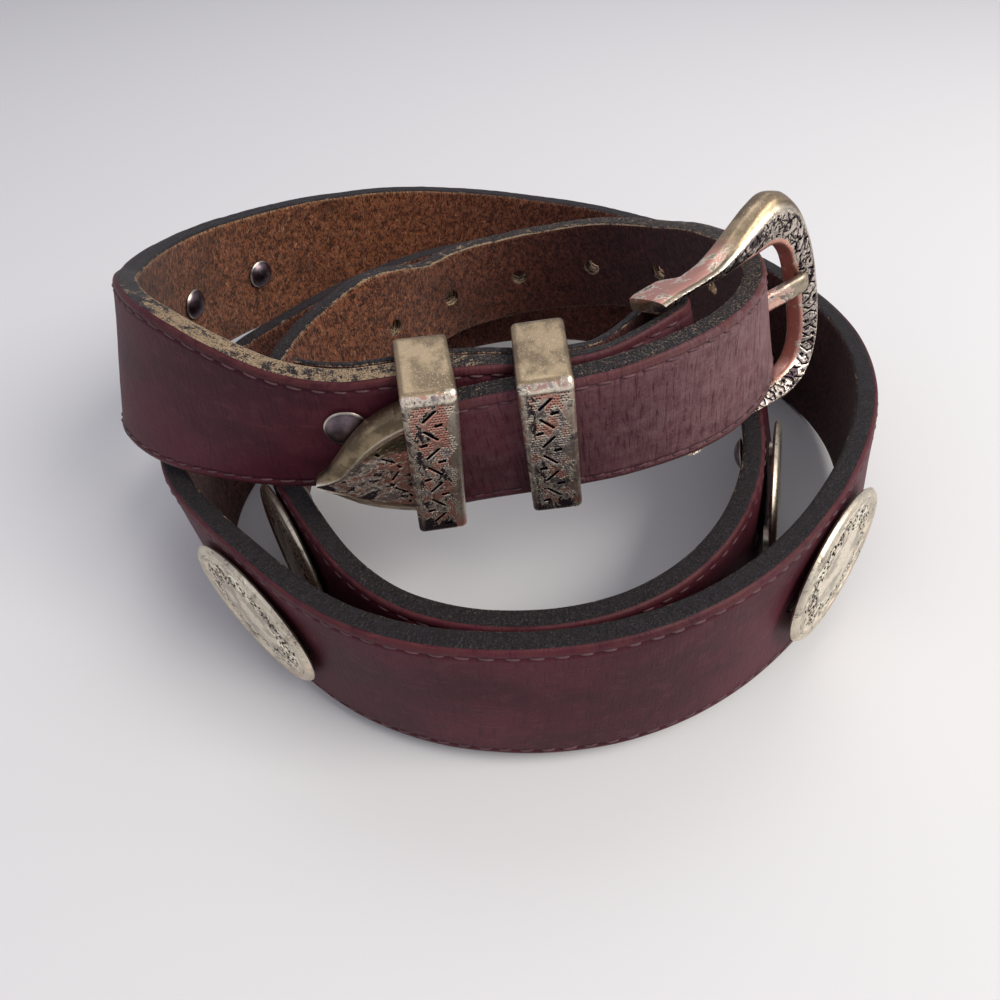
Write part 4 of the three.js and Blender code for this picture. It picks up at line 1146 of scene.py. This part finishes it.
def prong_piece(belt):
    """One rounded bar of metal: closed round the buckle's bar, then dipping and rising over the far rim."""
    rows = []
    radius = BAR_RADIUS + PRONG_LOOP_GAP + PRONG_LOOP_THICKNESS / 2
    for degrees in np.arange(8, -257, -8):
        turn = math.radians(degrees)
        rows.append((radius * math.cos(turn), radius * math.sin(turn), PRONG_LOOP_THICKNESS, 1.0, 0.0))
    loop_rows = len(rows)
    ahead = [row.ahead for row in PRONG_SIDE]
    stations = np.linspace(ahead[0], ahead[-1], 90)
    low = smooth_curve(ahead, [row.low for row in PRONG_SIDE])(stations)
    high = smooth_curve(ahead, [row.high for row in PRONG_SIDE])(stations)
    wide = steady_curve(ahead, [row.wide for row in PRONG_SIDE])(stations)
    drift = steady_curve(ahead, [row.drift for row in PRONG_SIDE])(stations)
    rows += list(zip(stations, (low + high) / 2, high - low, wide, drift))
    rows.append((32.5, 5.2, 0.4, 0.35, 1.5))
    path = np.array([(row[0], row[1]) for row in rows])
    step = unit(np.gradient(path, axis=0))
    normal = np.stack([-step[:, 1], step[:, 0]], axis=1)
    sides = 20
    turn = np.arange(sides) * 2 * math.pi / sides
    waves = ((np.cos(turn), 0.55), (np.sin(turn), 0.62))
    shape = [np.sign(wave) * np.abs(wave) ** power for wave, power in waves]
    half = np.array([row[3] for row in rows])[:, None] * PRONG_WIDTH / 2
    deep = np.array([row[2] for row in rows])[:, None] / 2
    u = path[:, :1] + normal[:, :1] * shape[1] * deep
    n = path[:, 1:] + normal[:, 1:] * shape[1] * deep
    v = shape[0] * half + np.array([row[4] for row in rows])[:, None]
    along = np.arange(len(rows))[:, None] * 0.42 + 0 * v
    loop = (np.arange(len(rows)) < loop_rows)[:, None] * 1.0
    tip = eased(u, 24, 30)
    piece = Piece()
    piece.add(
        belt.in_buckle(u, v, n), grid_faces(len(rows), sides), 0, place=np.stack([along, v, n], axis=-1),
        engraved=0 * v, front=0.8 + 0 * v, bright=0.3 * (n > 3) * (1 - loop), rubbed=(1 - tip) * 0.9 + 0 * v,
        grime=tip * 1.2, stain=tip * 0.9 + 0 * v,
    )
    return piece


def keeper_box(belt, keeper):
    """The keeper's own directions at its place, and how far its solid reaches along them."""
    spot = belt.run.at(keeper.at)
    tilt = math.radians(keeper.skew)
    up = unit(spot.across * math.cos(tilt) + spot.travel * math.sin(tilt))
    forward = unit(spot.travel * math.cos(tilt) - spot.across * math.sin(tilt))
    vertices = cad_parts[keeper.name].data.vertices
    places = belt.from_shared(np.array([vertex.co for vertex in vertices])) - spot.middle
    tall = places @ up
    deep = places @ spot.out
    return spot, up, forward, (tall.min(), tall.max()), (deep.min(), deep.max())


def keeper_piece(belt, keeper):
    """Boxy loop of cast metal: plain gold-grey top, engraved front with bevelled sides, round corners."""
    spot, up, forward, tall, deep = keeper_box(belt, keeper)
    corner = KEEPER_CORNER
    fine = 0.125
    path = []
    ends = [(tall[1] - corner, deep[1] - corner), (tall[0] + corner, deep[1] - corner),
            (tall[0] + corner, deep[0] + corner), (tall[1] - corner, deep[0] + corner)]
    run_height = ends[0][0] - ends[1][0]
    run_depth = ends[1][1] - ends[2][1]

    def arc(at, start):
        for degrees in np.linspace(start, start + 90, 9)[:-1]:
            turn = math.radians(degrees)
            path.append((at[0] + corner * math.cos(turn), at[1] + corner * math.sin(turn),
                         math.cos(turn), math.sin(turn)))

    def straight(at, direction, normal, length, step):
        count = max(2, round(length / step))
        for i in range(count):
            path.append((at[0] + direction[0] * length * i / count, at[1] + direction[1] * length * i / count,
                         normal[0], normal[1]))

    arc(ends[0], 0)
    straight((ends[0][0], deep[1]), (-1, 0), (0, 1), run_height, fine)
    arc(ends[1], 90)
    straight((tall[0], ends[1][1]), (0, -1), (-1, 0), run_depth, 0.5)
    arc(ends[2], 180)
    straight((ends[2][0], deep[0]), (1, 0), (0, -1), run_height, 1.2)
    arc(ends[3], 270)
    straight((tall[1], ends[3][1]), (0, 1), (1, 0), run_depth, 0.5)
    path = np.array(path)
    half = KEEPER_WIDTH / 2
    face_across = np.arange(-half + 1.0, half - 1.0 + 0.01, fine)
    outer_side = [(-half, -0.75), (-half + 0.1, -0.45), (-half + 0.4, -0.14), (-half + 0.8, -0.02)]
    across = [row[0] for row in outer_side] + list(face_across) + [-row[0] for row in outer_side[::-1]]
    drop = [row[1] for row in outer_side] + [0.0] * len(face_across) + [row[1] for row in outer_side[::-1]]
    across += [half, half - 0.25, half - 0.6, 0, -half + 0.6, -half + 0.25, -half]
    drop += [-1.0, -KEEPER_WALL + 0.05, -KEEPER_WALL, -KEEPER_WALL, -KEEPER_WALL, -KEEPER_WALL + 0.05, -1.0]
    across = np.array(across)[None]
    drop = np.array(drop)[None] + 0 * path[:, :1]
    t, d, nt, nd = (path[:, i:i + 1] for i in range(4))
    front = (nd > 0.93) & (t < tall[1] - 2.0) & (t > tall[0] + 1.4)
    a = tall[1] - t + 0 * across
    b = across + 0 * t
    marks = Engraving()
    draw = np.random.default_rng(keeper.seed)
    height = tall[1] - tall[0]
    first = 4.2
    pitch = 4.0
    line = 0.35
    count = int((height - first - 2.2) / pitch) + 1

    def zigzag(at):
        """Middle of the zigzag at a distance from the top; it swings once to each side in two dashes."""
        phase = ((at - first) / pitch + 0.5) % 2
        return line - 1.25 * (2 * abs(phase - 1) - 1)

    for i in range(count):
        at = first + i * pitch
        sign = 1 if i % 2 == 0 else -1
        marks.dash(at, line, 2.7, 45 * sign, 0.25)
        bend = at + pitch / 2
        aside = line - sign * 1.3
        marks.stroke(bend - 0.1, aside - 0.4, bend + 0.1, aside + 0.4, 0.3)
    for row in range(-5, 6):
        if row == 0:
            continue
        for at in np.arange(first - 1.8, height - 1.2, 0.5):
            where = zigzag(at) + row * 0.52 + math.copysign(0.42, row)
            if abs(where) < half - 0.95 and draw.uniform() < 0.9:
                marks.prick(at + draw.uniform(-0.06, 0.06), where + draw.uniform(-0.05, 0.05), 0.11)
    inside = eased(np.abs(b), half - 0.8, half - 1.0) * (drop > -0.2)
    cut = marks.cut(a, b, 0.1) * front * inside
    panel = eased(half - np.abs(b), 0.85, 1.05) * front * (drop > -0.2)
    depth = drop - 0.2 * cut - 0.1 * panel
    # Painted highlights on the side bevel that faces the light, fading towards the bottom, and along the top
    # lip; a bright line also runs down the ridge of the other side, fading the same way
    side = (b < -half + 1.9) * (drop > -0.7)
    left = np.exp(-((b - half + 0.9) / 0.35) ** 2) * (drop > -0.4)
    lower = eased(a, height - 2, height - 6)
    bright = side * (nd > 0.3) * keeper.shine * lower + left * (nd > 0.5) * 0.7 * lower
    lip = np.exp(-((a - 1.5 - 0.25 * wavy(b * 3, a, 5, keeper.seed)) / 0.5) ** 2) * (nd > 0.2) * (drop > -0.4)
    bright = np.clip(np.maximum(bright, lip * 0.9), 0, 1)
    panel = panel * (b > -half + 1.35)
    points = (spot.middle + up * (t + nt * depth)[..., None] + spot.out * (d + nd * depth)[..., None]
              + forward * b[..., None])
    count = across.shape[1]
    piece = Piece()
    places = np.stack([a + keeper.seed, b, d + 0 * b], axis=-1)
    piece.add(
        points, grid_faces(len(path), count, closed_rings=True), 0, place=places, engraved=cut,
        front=np.maximum(panel, (nd > 0.6) * (drop > -0.5) * 0.9), bright=bright,
        rubbed=panel * eased(a, 15, 6) * keeper.rub + 0.3 * side * (nd > 0.5),
        # More dark patches towards the bottom and the other side, fewer on the highlighted side bevel
        grime=eased(a, height - 5, height - 1) * 1.3 + eased(b, 0.5, 3) * 0.5 - 0.3 + left * 0.4 - side * 0.9,
        stain=lip * 0.5 + (a < 1) * 0.25,
    )
    return piece


def tip_piece(belt):
    """Pointed metal tip: broad bevel to a fine raised line, zigzag cuts near the keeper, worn patches."""
    run = belt.run
    stations = TIP_FROM + (TIP_TO - TIP_FROM) * np.linspace(0, 1, 130) ** 0.94
    width = smooth_outline(stations) / 2
    bevel = np.minimum(2.6, width * 0.55)
    flat = np.minimum(1.6, width * 0.5)
    part = tip_part(stations)
    front = FULL_THICKNESS / 2 + 0.3 - 0.9 * between(part, 0.75, 1)
    back = -FULL_THICKNESS / 2 + 0.1 + 0.9 * between(part, 0.6, 1)
    rise = [(1.0, -1.15), (0.75, -0.62), (0.45, -0.3), (0.2, -0.08), (0.09, 0.0), (0.0, 0.05), (-0.09, -0.02),
            (-0.2, -0.1)]
    columns = []
    for share, drop in rise:
        columns.append((width - bevel * (1 - share), front + drop))
    inner = width - bevel * 1.2
    for share in np.linspace(0.96, -0.96, 96):
        columns.append((inner * share, front - 0.1))
    for share, drop in rise[::-1]:
        columns.append((-(width - bevel * (1 - share)), front + drop))
    under = [(0.0, 0.4), (0.5, 0.0), (1.0, 0.0)]
    for way, rows in ((-1, under), (1, under[::-1])):
        for share, lift in rows:
            columns.append((way * (width - flat * 0.5 * share), back + lift))
    u = np.stack([column[0] for column in columns], axis=1)
    n = np.stack([column[1] for column in columns], axis=1)
    a = (stations - TIP_FROM)[:, None] + 0 * u
    marks = Engraving()
    draw = np.random.default_rng(41)
    for column in (3.6, 8.7):
        for i, b in enumerate(np.arange(-7.6, 8, 3.8)):
            way = 1 if i % 2 else -1
            marks.dash(column, b, 2.1, 45 * way, 0.2)
            marks.stroke(column + way * 1.2 - 0.1, b + 1.7, column + way * 1.2 + 0.1, b + 2.2, 0.24)
    for _ in range(170):
        marks.prick(draw.uniform(0.4, 11), draw.uniform(-9, 9), 0.11)
    face = (n > front[:, None] - 0.3) & (np.abs(u) < inner[:, None])
    cut = marks.cut(a, u, 0.1) * face * (np.abs(u) < inner[:, None] - 0.5) * eased(a, 11.5, 10.5)
    n = n - 0.2 * cut
    line = np.exp(-((np.abs(u) - (width - bevel)[:, None]) / 0.22) ** 2) * (n > 1.0)
    slope = (np.abs(u) > (width - bevel)[:, None]) * (n > -1)
    spots = run.at(stations)
    points = spots.middle[:, None] + spots.across[:, None] * u[..., None] + spots.out[:, None] * n[..., None]
    piece = Piece()
    piece.add(
        points, grid_faces(len(stations), len(columns)), 0,
        place=np.stack([a + 60, u, n], axis=-1), engraved=cut, front=face * 1.0, bright=np.clip(line, 0, 1),
        rubbed=face * (eased(a, 13, 6) * 0.9) * (u > -4),
        grime=face * (np.exp(-((u + 1.5) / 2.6) ** 2) * 0.5 + eased(a, 18, 21) - 0.3),
        stain=slope * 0.8 + face * eased(u, 3.5, 6.5),
    )
    return piece


def smooth_outline(s):
    """Half-round version of the tip's outline, never wider than it."""
    curve = smooth_curve([row.part for row in TIP_OUTLINE], [row.width for row in TIP_OUTLINE])
    return np.maximum(curve(tip_part(s)), 1.4)


# A concho's section from its back over the rim to its middle: part of its radius, height, and steps after
Relief = namedtuple("Relief", "part height steps")


def concho_shape():
    """Local mesh of a concho: along, across and height in millimetres, with its values."""
    sides = 200
    turn = np.arange(sides) * 2 * math.pi / sides
    profile = [
        Relief(0.0, 0.0, 1), Relief(0.9, 0.0, 2), Relief(0.972, 0.1, 2), Relief(1.0, 0.5, 2),
        Relief(0.992, 0.8, 2), Relief(0.965, 1.24, 3), Relief(0.93, 1.4, 3), Relief(0.9, 1.4, 2),
        Relief(0.885, 1.3, 2), Relief(0.873, 1.4, 2), Relief(0.858, 1.4, 2), Relief(0.835, 1.16, 3),
        Relief(0.81, 1.1, 3), Relief(0.79, 1.15, 26), Relief(0.46, 1.42, 3), Relief(0.43, 1.46, 10),
        Relief(0.02, 1.7, 0),
    ]
    rows = []
    for row, after in zip(profile, profile[1:]):
        for t in np.arange(row.steps) / row.steps:
            height = row.height + (after.height - row.height) * t
            rows.append((row.part + (after.part - row.part) * t, height))
    rows.append((0.02, 1.7))
    part = np.array([row[0] for row in rows])[:, None]
    height = np.array([row[1] for row in rows])[:, None] + 0 * turn
    a = CONCHO_LONG / 2 * part * np.cos(turn)
    b = CONCHO_TALL / 2 * part * np.sin(turn)
    marks = Engraving()
    draw = np.random.default_rng(51)
    count = 22
    for i in range(count):
        angle = 2 * math.pi * i / count
        x = CONCHO_LONG / 2 * 0.64 * math.cos(angle)
        y = CONCHO_TALL / 2 * 0.64 * math.sin(angle)
        tangent = math.degrees(math.atan2(CONCHO_TALL * math.cos(angle), -CONCHO_LONG * math.sin(angle)))
        hand = 1 if i % 2 else -1
        outward = math.degrees(angle)
        marks.curl(x, y, 1.45, tangent + 90 * hand, hand, 0.17)
        marks.prick(x, y, 0.27)
        for offset, length in ((1.95, 1.5), (-1.9, 1.3)):
            p = x + math.cos(angle) * offset
            q = y + math.sin(angle) * offset
            marks.dash(p, q, length, tangent + 24 * hand, 0.16)
            marks.dash(p + math.cos(angle) * 0.5, q + math.sin(angle) * 0.5, length * 0.6, outward, 0.13)
        for _ in range(7):
            spread = draw.uniform(-0.9, 0.9) * math.pi / count + angle
            reach = draw.uniform(0.5, 0.77)
            dot = (CONCHO_LONG / 2 * reach * math.cos(spread), CONCHO_TALL / 2 * reach * math.sin(spread))
            marks.prick(*dot, 0.15)
    band = eased(part, 0.47, 0.5) * (1 - eased(part, 0.775, 0.79)) * (height > 1.0)
    cut = marks.cut(a, b, 0.14) * band
    line = np.exp(-((part - 0.882) / 0.006) ** 2) * (height > 1.0)
    cut = np.maximum(cut, line * 0.55 * (wavy(a * 3, b * 3, 9, 3) > -0.35))
    height = height - 0.2 * cut
    rim = (part > 0.84) * (height > 0.4) * np.ones_like(turn)
    return a, b, height, cut, band + 0 * turn, rim


def concho_pieces(belt):
    """One mesh per concho, each on its two short posts."""
    a, b, height, cut, band, rim = concho_shape()
    faces = grid_faces(*a.shape)
    made = []
    for i, concho in enumerate(CONCHOS):
        spot = belt.run.at(concho.at)
        base = FULL_THICKNESS / 2 + concho.lift
        points = (spot.middle + spot.travel * a[..., None] + spot.across * b[..., None]
                  + spot.out * (base + height)[..., None])
        piece = Piece()
        places = np.stack([a + 50 * i, b, height], axis=-1)
        rubbed = eased(-a * 0.6 - b, 6, 13) * rim * 0.5
        bright = np.maximum(rim * 0.6, band * 0.5)
        piece.add(points, faces, 0, place=places, engraved=cut, front=band, bright=bright, rubbed=rubbed,
                  grime=band * 0.2, stain=rim * 0.7)
        for side in (-1, 1):
            post = spot.middle + spot.travel * side * SCREW_SPREAD + spot.out * (base - concho.lift / 2 + 0.4)
            rod_mesh(piece, post, spot.out, CONCHO_POST_RADIUS, concho.lift + 0.2, 24,
                     place=np.zeros((48, 3)), **PLAIN_PLATE)
        made.append(piece)
    return made


def cap_mesh(piece, middle, direction, face_at, dome, radius):
    """Smooth domed cap with a rolled rim, its flat side towards the leather."""
    helper = unit(np.cross(UP, direction))
    other = np.cross(direction, helper)
    rows = [(0.1, 0.0), (0.9, 0.0), (0.98, 0.06), (1.0, 0.16), (0.99, 0.24), (0.955, 0.3)]
    for part in (0.92, 0.86, 0.78, 0.68, 0.56, 0.43, 0.3, 0.17, 0.05):
        rows.append((part, 0.3 + (1 - 0.3 / dome) * dome * (1 - part ** 2.3) / (1 - 0.05 ** 2.3)))
    sides = 40
    turn = np.arange(sides) * 2 * math.pi / sides
    part = np.array([row[0] for row in rows])[:, None]
    height = np.array([row[1] for row in rows])[:, None]
    circle = np.cos(turn)[:, None] * helper + np.sin(turn)[:, None] * other
    points = middle + direction * (face_at + height)[..., None] + circle[None] * (radius * part)[..., None]
    bright = np.exp(-((part - 0.97) / 0.03) ** 2) * (height < 0.35) * np.ones(sides)
    places = points - middle
    piece.add(points, grid_faces(len(rows), sides), 0, place=places, bright=bright)


def screw_piece(belt, at, under):
    """One domed cap inside the strap with the shank that runs out to the concho."""
    spot = belt.run.at(at)
    inward = -spot.out
    piece = Piece()
    face_at = FULL_THICKNESS / 2 + under
    cap_mesh(piece, spot.middle, inward, face_at, SCREW_DOME, SCREW_RADIUS)
    length = FULL_THICKNESS + under
    middle = spot.middle + inward * (face_at - length / 2 + 0.2)
    rod_mesh(piece, middle, inward, SHANK_RADIUS, length + 0.4, 16, place=np.zeros((32, 3)), bright=0)
    return piece


def fold_screw_piece(belt):
    """Low cap on the outer face over the folded layer, and its flat post cap behind."""
    spot = belt.run.at(FOLD_SCREW_AT)
    middle = spot.middle + spot.across * FOLD_SCREW_ABOVE
    front = float(belt.run.thickness(FOLD_SCREW_AT)) / 2 + GAP + 0.2
    depth = front + float(belt.fold_offset(FOLD_SCREW_AT)) + float(belt.fold_thickness(FOLD_SCREW_AT)) / 2
    depth += GAP + 0.1
    piece = Piece()
    cap_mesh(piece, middle, spot.out, front, FOLD_SCREW_DOME, FOLD_SCREW_RADIUS)
    shank = middle + spot.out * (front - depth / 2)
    rod_mesh(piece, shank, spot.out, SHANK_RADIUS, depth, 16, place=np.zeros((32, 3)), bright=0)
    behind = middle + spot.out * (front - depth)
    cap_mesh(piece, behind, -spot.out, 0.0, POST_CAP_DOME, POST_CAP_RADIUS)
    return piece


class LeatherSettings(bpy.types.PropertyGroup):
    """Sizes and colours of the strap."""
    body_width: FloatProperty(
        name="Body width", description="Width of the strap's body", default=0.0315, unit="LENGTH")
    tail_width: FloatProperty(
        name="Tail width", description="Width at the buckle and at the tail", default=0.024, unit="LENGTH")
    stitch_pitch: FloatProperty(
        name="Stitch pitch", description="From one stitch to the next", default=0.0036, unit="LENGTH")
    stitch_inset: FloatProperty(
        name="Stitch inset", description="Row of stitches in from the edge", default=0.0019, unit="LENGTH")
    groove_depth: FloatProperty(
        name="Groove depth", description="Depth of the groove for the stitches", default=0.00028,
        unit="LENGTH")
    thread_radius: FloatProperty(
        name="Thread radius", description="Half the thickness of the thread", default=0.00027, unit="LENGTH")
    outer_colour: FloatVectorProperty(
        name="Outer leather", description="Colour of the smooth face", subtype="COLOR",
        default=(0.064, 0.0125, 0.020))
    outer_worn: FloatVectorProperty(
        name="Worn leather", description="Colour where the smooth face is rubbed", subtype="COLOR",
        default=(0.095, 0.026, 0.034))
    # The grey-pink sheen painted on the smooth face along the tail
    dusty_colour: FloatVectorProperty(
        name="Painted sheen", description="Colour of the grey-pink sheen painted on the smooth face",
        subtype="COLOR", default=(0.25, 0.15, 0.155))
    bevel_colour: FloatVectorProperty(
        name="Bevel", description="Colour of the rounded outer corner", subtype="COLOR",
        default=(0.092, 0.025, 0.025))
    # Lit and shaded colours of the same suede; the shade painted along the strap mixes between them
    suede_lit: FloatVectorProperty(
        name="Lit suede", description="Colour of the nap where it is painted lit", subtype="COLOR",
        default=(0.30, 0.098, 0.04))
    suede_pale: FloatVectorProperty(
        name="Suede fibres", description="Colour of raised fibres", subtype="COLOR",
        default=(0.56, 0.36, 0.2))
    suede_aged: FloatVectorProperty(
        name="Shaded suede", description="Colour of the darkened nap", subtype="COLOR",
        default=(0.062, 0.0135, 0.0175))
    edge_colour: FloatVectorProperty(
        name="Edge dye", description="Colour of the dyed edge", subtype="COLOR",
        default=(0.0115, 0.0085, 0.0115))
    glint_colour: FloatVectorProperty(
        name="Edge flecks", description="Colour of the glinting flecks in the edge", subtype="COLOR",
        default=(0.15, 0.125, 0.13))
    raw_colour: FloatVectorProperty(
        name="Raw leather", description="Colour where the dye is rubbed away", subtype="COLOR",
        default=(0.50, 0.36, 0.22))
    thread_colour: FloatVectorProperty(
        name="Thread", description="Colour of the stitches", subtype="COLOR", default=(0.10, 0.036, 0.043))


class MetalSettings(bpy.types.PropertyGroup):
    """Colours of the metal fittings."""
    gold_colour: FloatVectorProperty(
        name="Plain plate", description="Dull plating on plain parts", subtype="COLOR",
        default=(0.47, 0.36, 0.22))
    silver_colour: FloatVectorProperty(
        name="Silver", description="Silver of the engraved parts", subtype="COLOR",
        default=(0.40, 0.34, 0.32))
    cream_colour: FloatVectorProperty(
        name="Bright plate", description="Bright plating on raised lines and conchos", subtype="COLOR",
        default=(0.88, 0.80, 0.65))
    olive_colour: FloatVectorProperty(
        name="Tarnish", description="Olive tarnish on walls and bevels", subtype="COLOR",
        default=(0.24, 0.185, 0.11))
    copper_colour: FloatVectorProperty(
        name="Copper", description="Pink copper under the plating", subtype="COLOR",
        default=(0.72, 0.37, 0.29))
    dark_colour: FloatVectorProperty(
        name="Dark base", description="Dark base where all plating is gone", subtype="COLOR",
        default=(0.095, 0.068, 0.078))
    screw_colour: FloatVectorProperty(
        name="Screw caps", description="Gunmetal of the caps", subtype="COLOR", default=(0.15, 0.115, 0.13))


class StageSettings(bpy.types.PropertyGroup):
    """Floor and lights."""
    floor_colour: FloatVectorProperty(
        name="Floor", description="Colour of the floor", subtype="COLOR", default=(0.74, 0.74, 0.735))
    key_power: FloatProperty(
        name="Key light", description="Power of the large lamp at the right", default=6.3, unit="POWER")
    fill_power: FloatProperty(
        name="Fill light", description="Power of the lamp at the left", default=0.8, unit="POWER")
    sky_strength: FloatProperty(name="Sky", description="Strength of the light from all round", default=0.44)


class BELT_OT_strap(bpy.types.Operator):
    """Builds the leather strap and its stitches"""
    bl_idname = "belt.strap"
    bl_label = "Strap and stitches"

    def execute(self, context):
        belt = Belt(context.scene.belt_leather)
        leather = belt.leather
        paints = [paint_grain(leather), paint_edge(leather), paint_suede(leather), paint_raw(leather)]
        strap = belt.make("strap_leather", strap_piece(belt), paints, ["strap"])
        cut_holes(belt, strap)
        belt.make("stitching", stitch_piece(belt), [paint_thread(leather)], [])
        return {"FINISHED"}


class BELT_OT_buckle(bpy.types.Operator):
    """Builds the engraved buckle frame and its prong"""
    bl_idname = "belt.buckle"
    bl_label = "Buckle and prong"

    def execute(self, context):
        belt = Belt(context.scene.belt_leather)
        metal = context.scene.belt_metal
        cast = paint_plate("buckle_plate", metal, metal.gold_colour, metal.silver_colour, 0.45, 0.3, 0.2)
        belt.make("buckle_cast", buckle_piece(belt), [cast], ["buckle_frame"], 40)
        bar = paint_plate("prong_plate", metal, metal.silver_colour, metal.silver_colour, 0.5, 0.3, 0.2)
        belt.make("prong_bar", prong_piece(belt), [bar], ["prong"], 45)
        return {"FINISHED"}


class BELT_OT_keepers(bpy.types.Operator):
    """Builds the two engraved keepers"""
    bl_idname = "belt.keepers"
    bl_label = "Keepers"

    def execute(self, context):
        belt = Belt(context.scene.belt_leather)
        metal = context.scene.belt_metal
        for keeper in KEEPERS:
            paint = paint_plate(f"{keeper.name}_plate", metal, metal.gold_colour, metal.silver_colour,
                                keeper.copper, keeper.dark, 0.24)
            piece = keeper_piece(belt, keeper)
            belt.make(f"{keeper.name}_loop", piece, [paint], [keeper.name], 50)
        return {"FINISHED"}


class BELT_OT_tip(bpy.types.Operator):
    """Builds the pointed tip"""
    bl_idname = "belt.tip"
    bl_label = "Tip"

    def execute(self, context):
        belt = Belt(context.scene.belt_leather)
        metal = context.scene.belt_metal
        paint = paint_plate("tip_plate", metal, metal.gold_colour, metal.silver_colour, 0.5, 0.36, 0.24)
        belt.make("tip_point", tip_piece(belt), [paint], ["tip"], 50)
        return {"FINISHED"}


class BELT_OT_conchos(bpy.types.Operator):
    """Builds the oval conchos"""
    bl_idname = "belt.conchos"
    bl_label = "Conchos"

    def execute(self, context):
        belt = Belt(context.scene.belt_leather)
        metal = context.scene.belt_metal
        cream = metal.cream_colour
        paint = paint_plate("concho_plate", metal, cream, cream, 0.2, 0.3, 0.28)
        for i, piece in enumerate(concho_pieces(belt)):
            name = f"concho_{i + 1}"
            belt.make(f"{name}_plate", piece, [paint], [name], 50)
        return {"FINISHED"}


class BELT_OT_screws(bpy.types.Operator):
    """Builds the domed screw caps"""
    bl_idname = "belt.screws"
    bl_label = "Screw caps"

    def execute(self, context):
        belt = Belt(context.scene.belt_leather)
        paint = paint_screw(context.scene.belt_metal)
        for i, concho in enumerate(CONCHOS):
            for letter, side in (("a", -1), ("b", 1)):
                node = f"screw_{i + 1}{letter}"
                piece = screw_piece(belt, concho.at + side * SCREW_SPREAD, concho.screws_under)
                belt.make(f"{node}_cap", piece, [paint], [node], 45)
        belt.make("fold_screw_cap", fold_screw_piece(belt), [paint], ["fold_screw"], 45)
        return {"FINISHED"}


# The camera: its place from the middle of the coil in millimetres, its turns in degrees, and its lens
EYE = (-0.6, -119.9, 123.2)
PITCH = 46.7
ROLL = -2.74
LENS = 25.2


def add_camera(belt):
    """The camera stands where the photograph was taken from."""
    data = bpy.data.cameras.new("camera")
    data.lens = LENS
    data.sensor_width = 36.0
    data.clip_start = 0.005
    camera = place_object("camera", data)
    bpy.context.scene.camera = camera
    pitch = math.radians(PITCH)
    roll = math.radians(ROLL)
    right = Vector((1, 0, 0))
    up = Vector((0, math.sin(pitch), math.cos(pitch)))
    ahead = Vector((0, math.cos(pitch), -math.sin(pitch)))
    turned_right = right * math.cos(roll) + up * math.sin(roll)
    turned_up = up * math.cos(roll) - right * math.sin(roll)
    place = belt.to_shared(np.array(EYE))
    columns = Matrix((turned_right, turned_up, -ahead)).transposed()
    camera.matrix_world = Matrix.Translation(Vector(place)) @ columns.to_4x4()


def add_area(name, place, target, size, power, colour):
    data = bpy.data.lights.new(name, "AREA")
    data.shape = "RECTANGLE"
    data.size, data.size_y = size
    data.energy = power
    data.color = colour
    lamp = place_object(name, data)
    lamp.location = place
    lamp.rotation_mode = "QUATERNION"
    lamp.rotation_quaternion = (Vector(target) - Vector(place)).to_track_quat("-Z", "Y")


class BELT_OT_stage(bpy.types.Operator):
    """Sets up the floor, the lights and the camera"""
    bl_idname = "belt.stage"
    bl_label = "Stage"

    def execute(self, context):
        scene = context.scene
        stage = scene.belt_stage
        add_camera(Belt(scene.belt_leather))
        mesh = bpy.data.meshes.new("floor")
        reach = 3.0
        mesh.from_pydata([(-reach, -reach, 0), (reach, -reach, 0), (reach, reach, 0), (-reach, reach, 0)], [],
                         [(0, 1, 2, 3)])
        floor = place_object("floor", mesh)
        paint = Paint("floor_card")
        mesh.materials.append(paint.finish(tuple(stage.floor_colour), 0.9).material)
        target = (0, 0, 0.03)
        add_area("key_lamp", (0.55, -0.25, 0.62), target, (0.5, 0.5), stage.key_power, (1.0, 0.96, 0.9))
        add_area("fill_lamp", (-0.6, -0.35, 0.55), target, (0.6, 0.6), stage.fill_power, (0.9, 0.93, 1.0))
        add_area("top_lamp", (0.05, 0.5, 0.8), target, (0.7, 0.4), stage.fill_power * 1.6, (0.95, 0.97, 1.0))
        world = bpy.data.worlds.new("sky")
        scene.world = world
        world.use_nodes = True
        background = world.node_tree.nodes["Background"]
        background.inputs["Color"].default_value = (0.90, 0.88, 1.0, 1)
        background.inputs["Strength"].default_value = stage.sky_strength
        scene.view_settings.view_transform = "Standard"
        return {"FINISHED"}


OPERATORS = [
    BELT_OT_stage, BELT_OT_strap, BELT_OT_buckle, BELT_OT_keepers, BELT_OT_tip, BELT_OT_conchos,
    BELT_OT_screws,
]
SETTINGS = [LeatherSettings, MetalSettings, StageSettings]


class BELT_PT_panel(bpy.types.Panel):
    """Lists the belt's pieces and the stage"""
    bl_idname = "BELT_PT_panel"
    bl_label = "Western belt"
    bl_space_type = "VIEW_3D"
    bl_region_type = "UI"
    bl_category = "Belt"

    def draw(self, context):
        for operator in OPERATORS:
            self.layout.operator(operator.bl_idname)
        for group in (context.scene.belt_leather, context.scene.belt_metal, context.scene.belt_stage):
            for name in group.__annotations__:
                self.layout.prop(group, name)


CLASSES = SETTINGS + OPERATORS + [BELT_PT_panel]


def register():
    for kind in CLASSES:
        bpy.utils.register_class(kind)
    bpy.types.Scene.belt_leather = PointerProperty(type=LeatherSettings)
    bpy.types.Scene.belt_metal = PointerProperty(type=MetalSettings)
    bpy.types.Scene.belt_stage = PointerProperty(type=StageSettings)


def unregister():
    del bpy.types.Scene.belt_leather
    del bpy.types.Scene.belt_metal
    del bpy.types.Scene.belt_stage
    for kind in reversed(CLASSES):
        bpy.utils.unregister_class(kind)


def main():
    register()
    for operator in OPERATORS:
        group, name = operator.bl_idname.split(".")
        getattr(getattr(bpy.ops, group), name)()


if __name__ == "__main__":
    main()
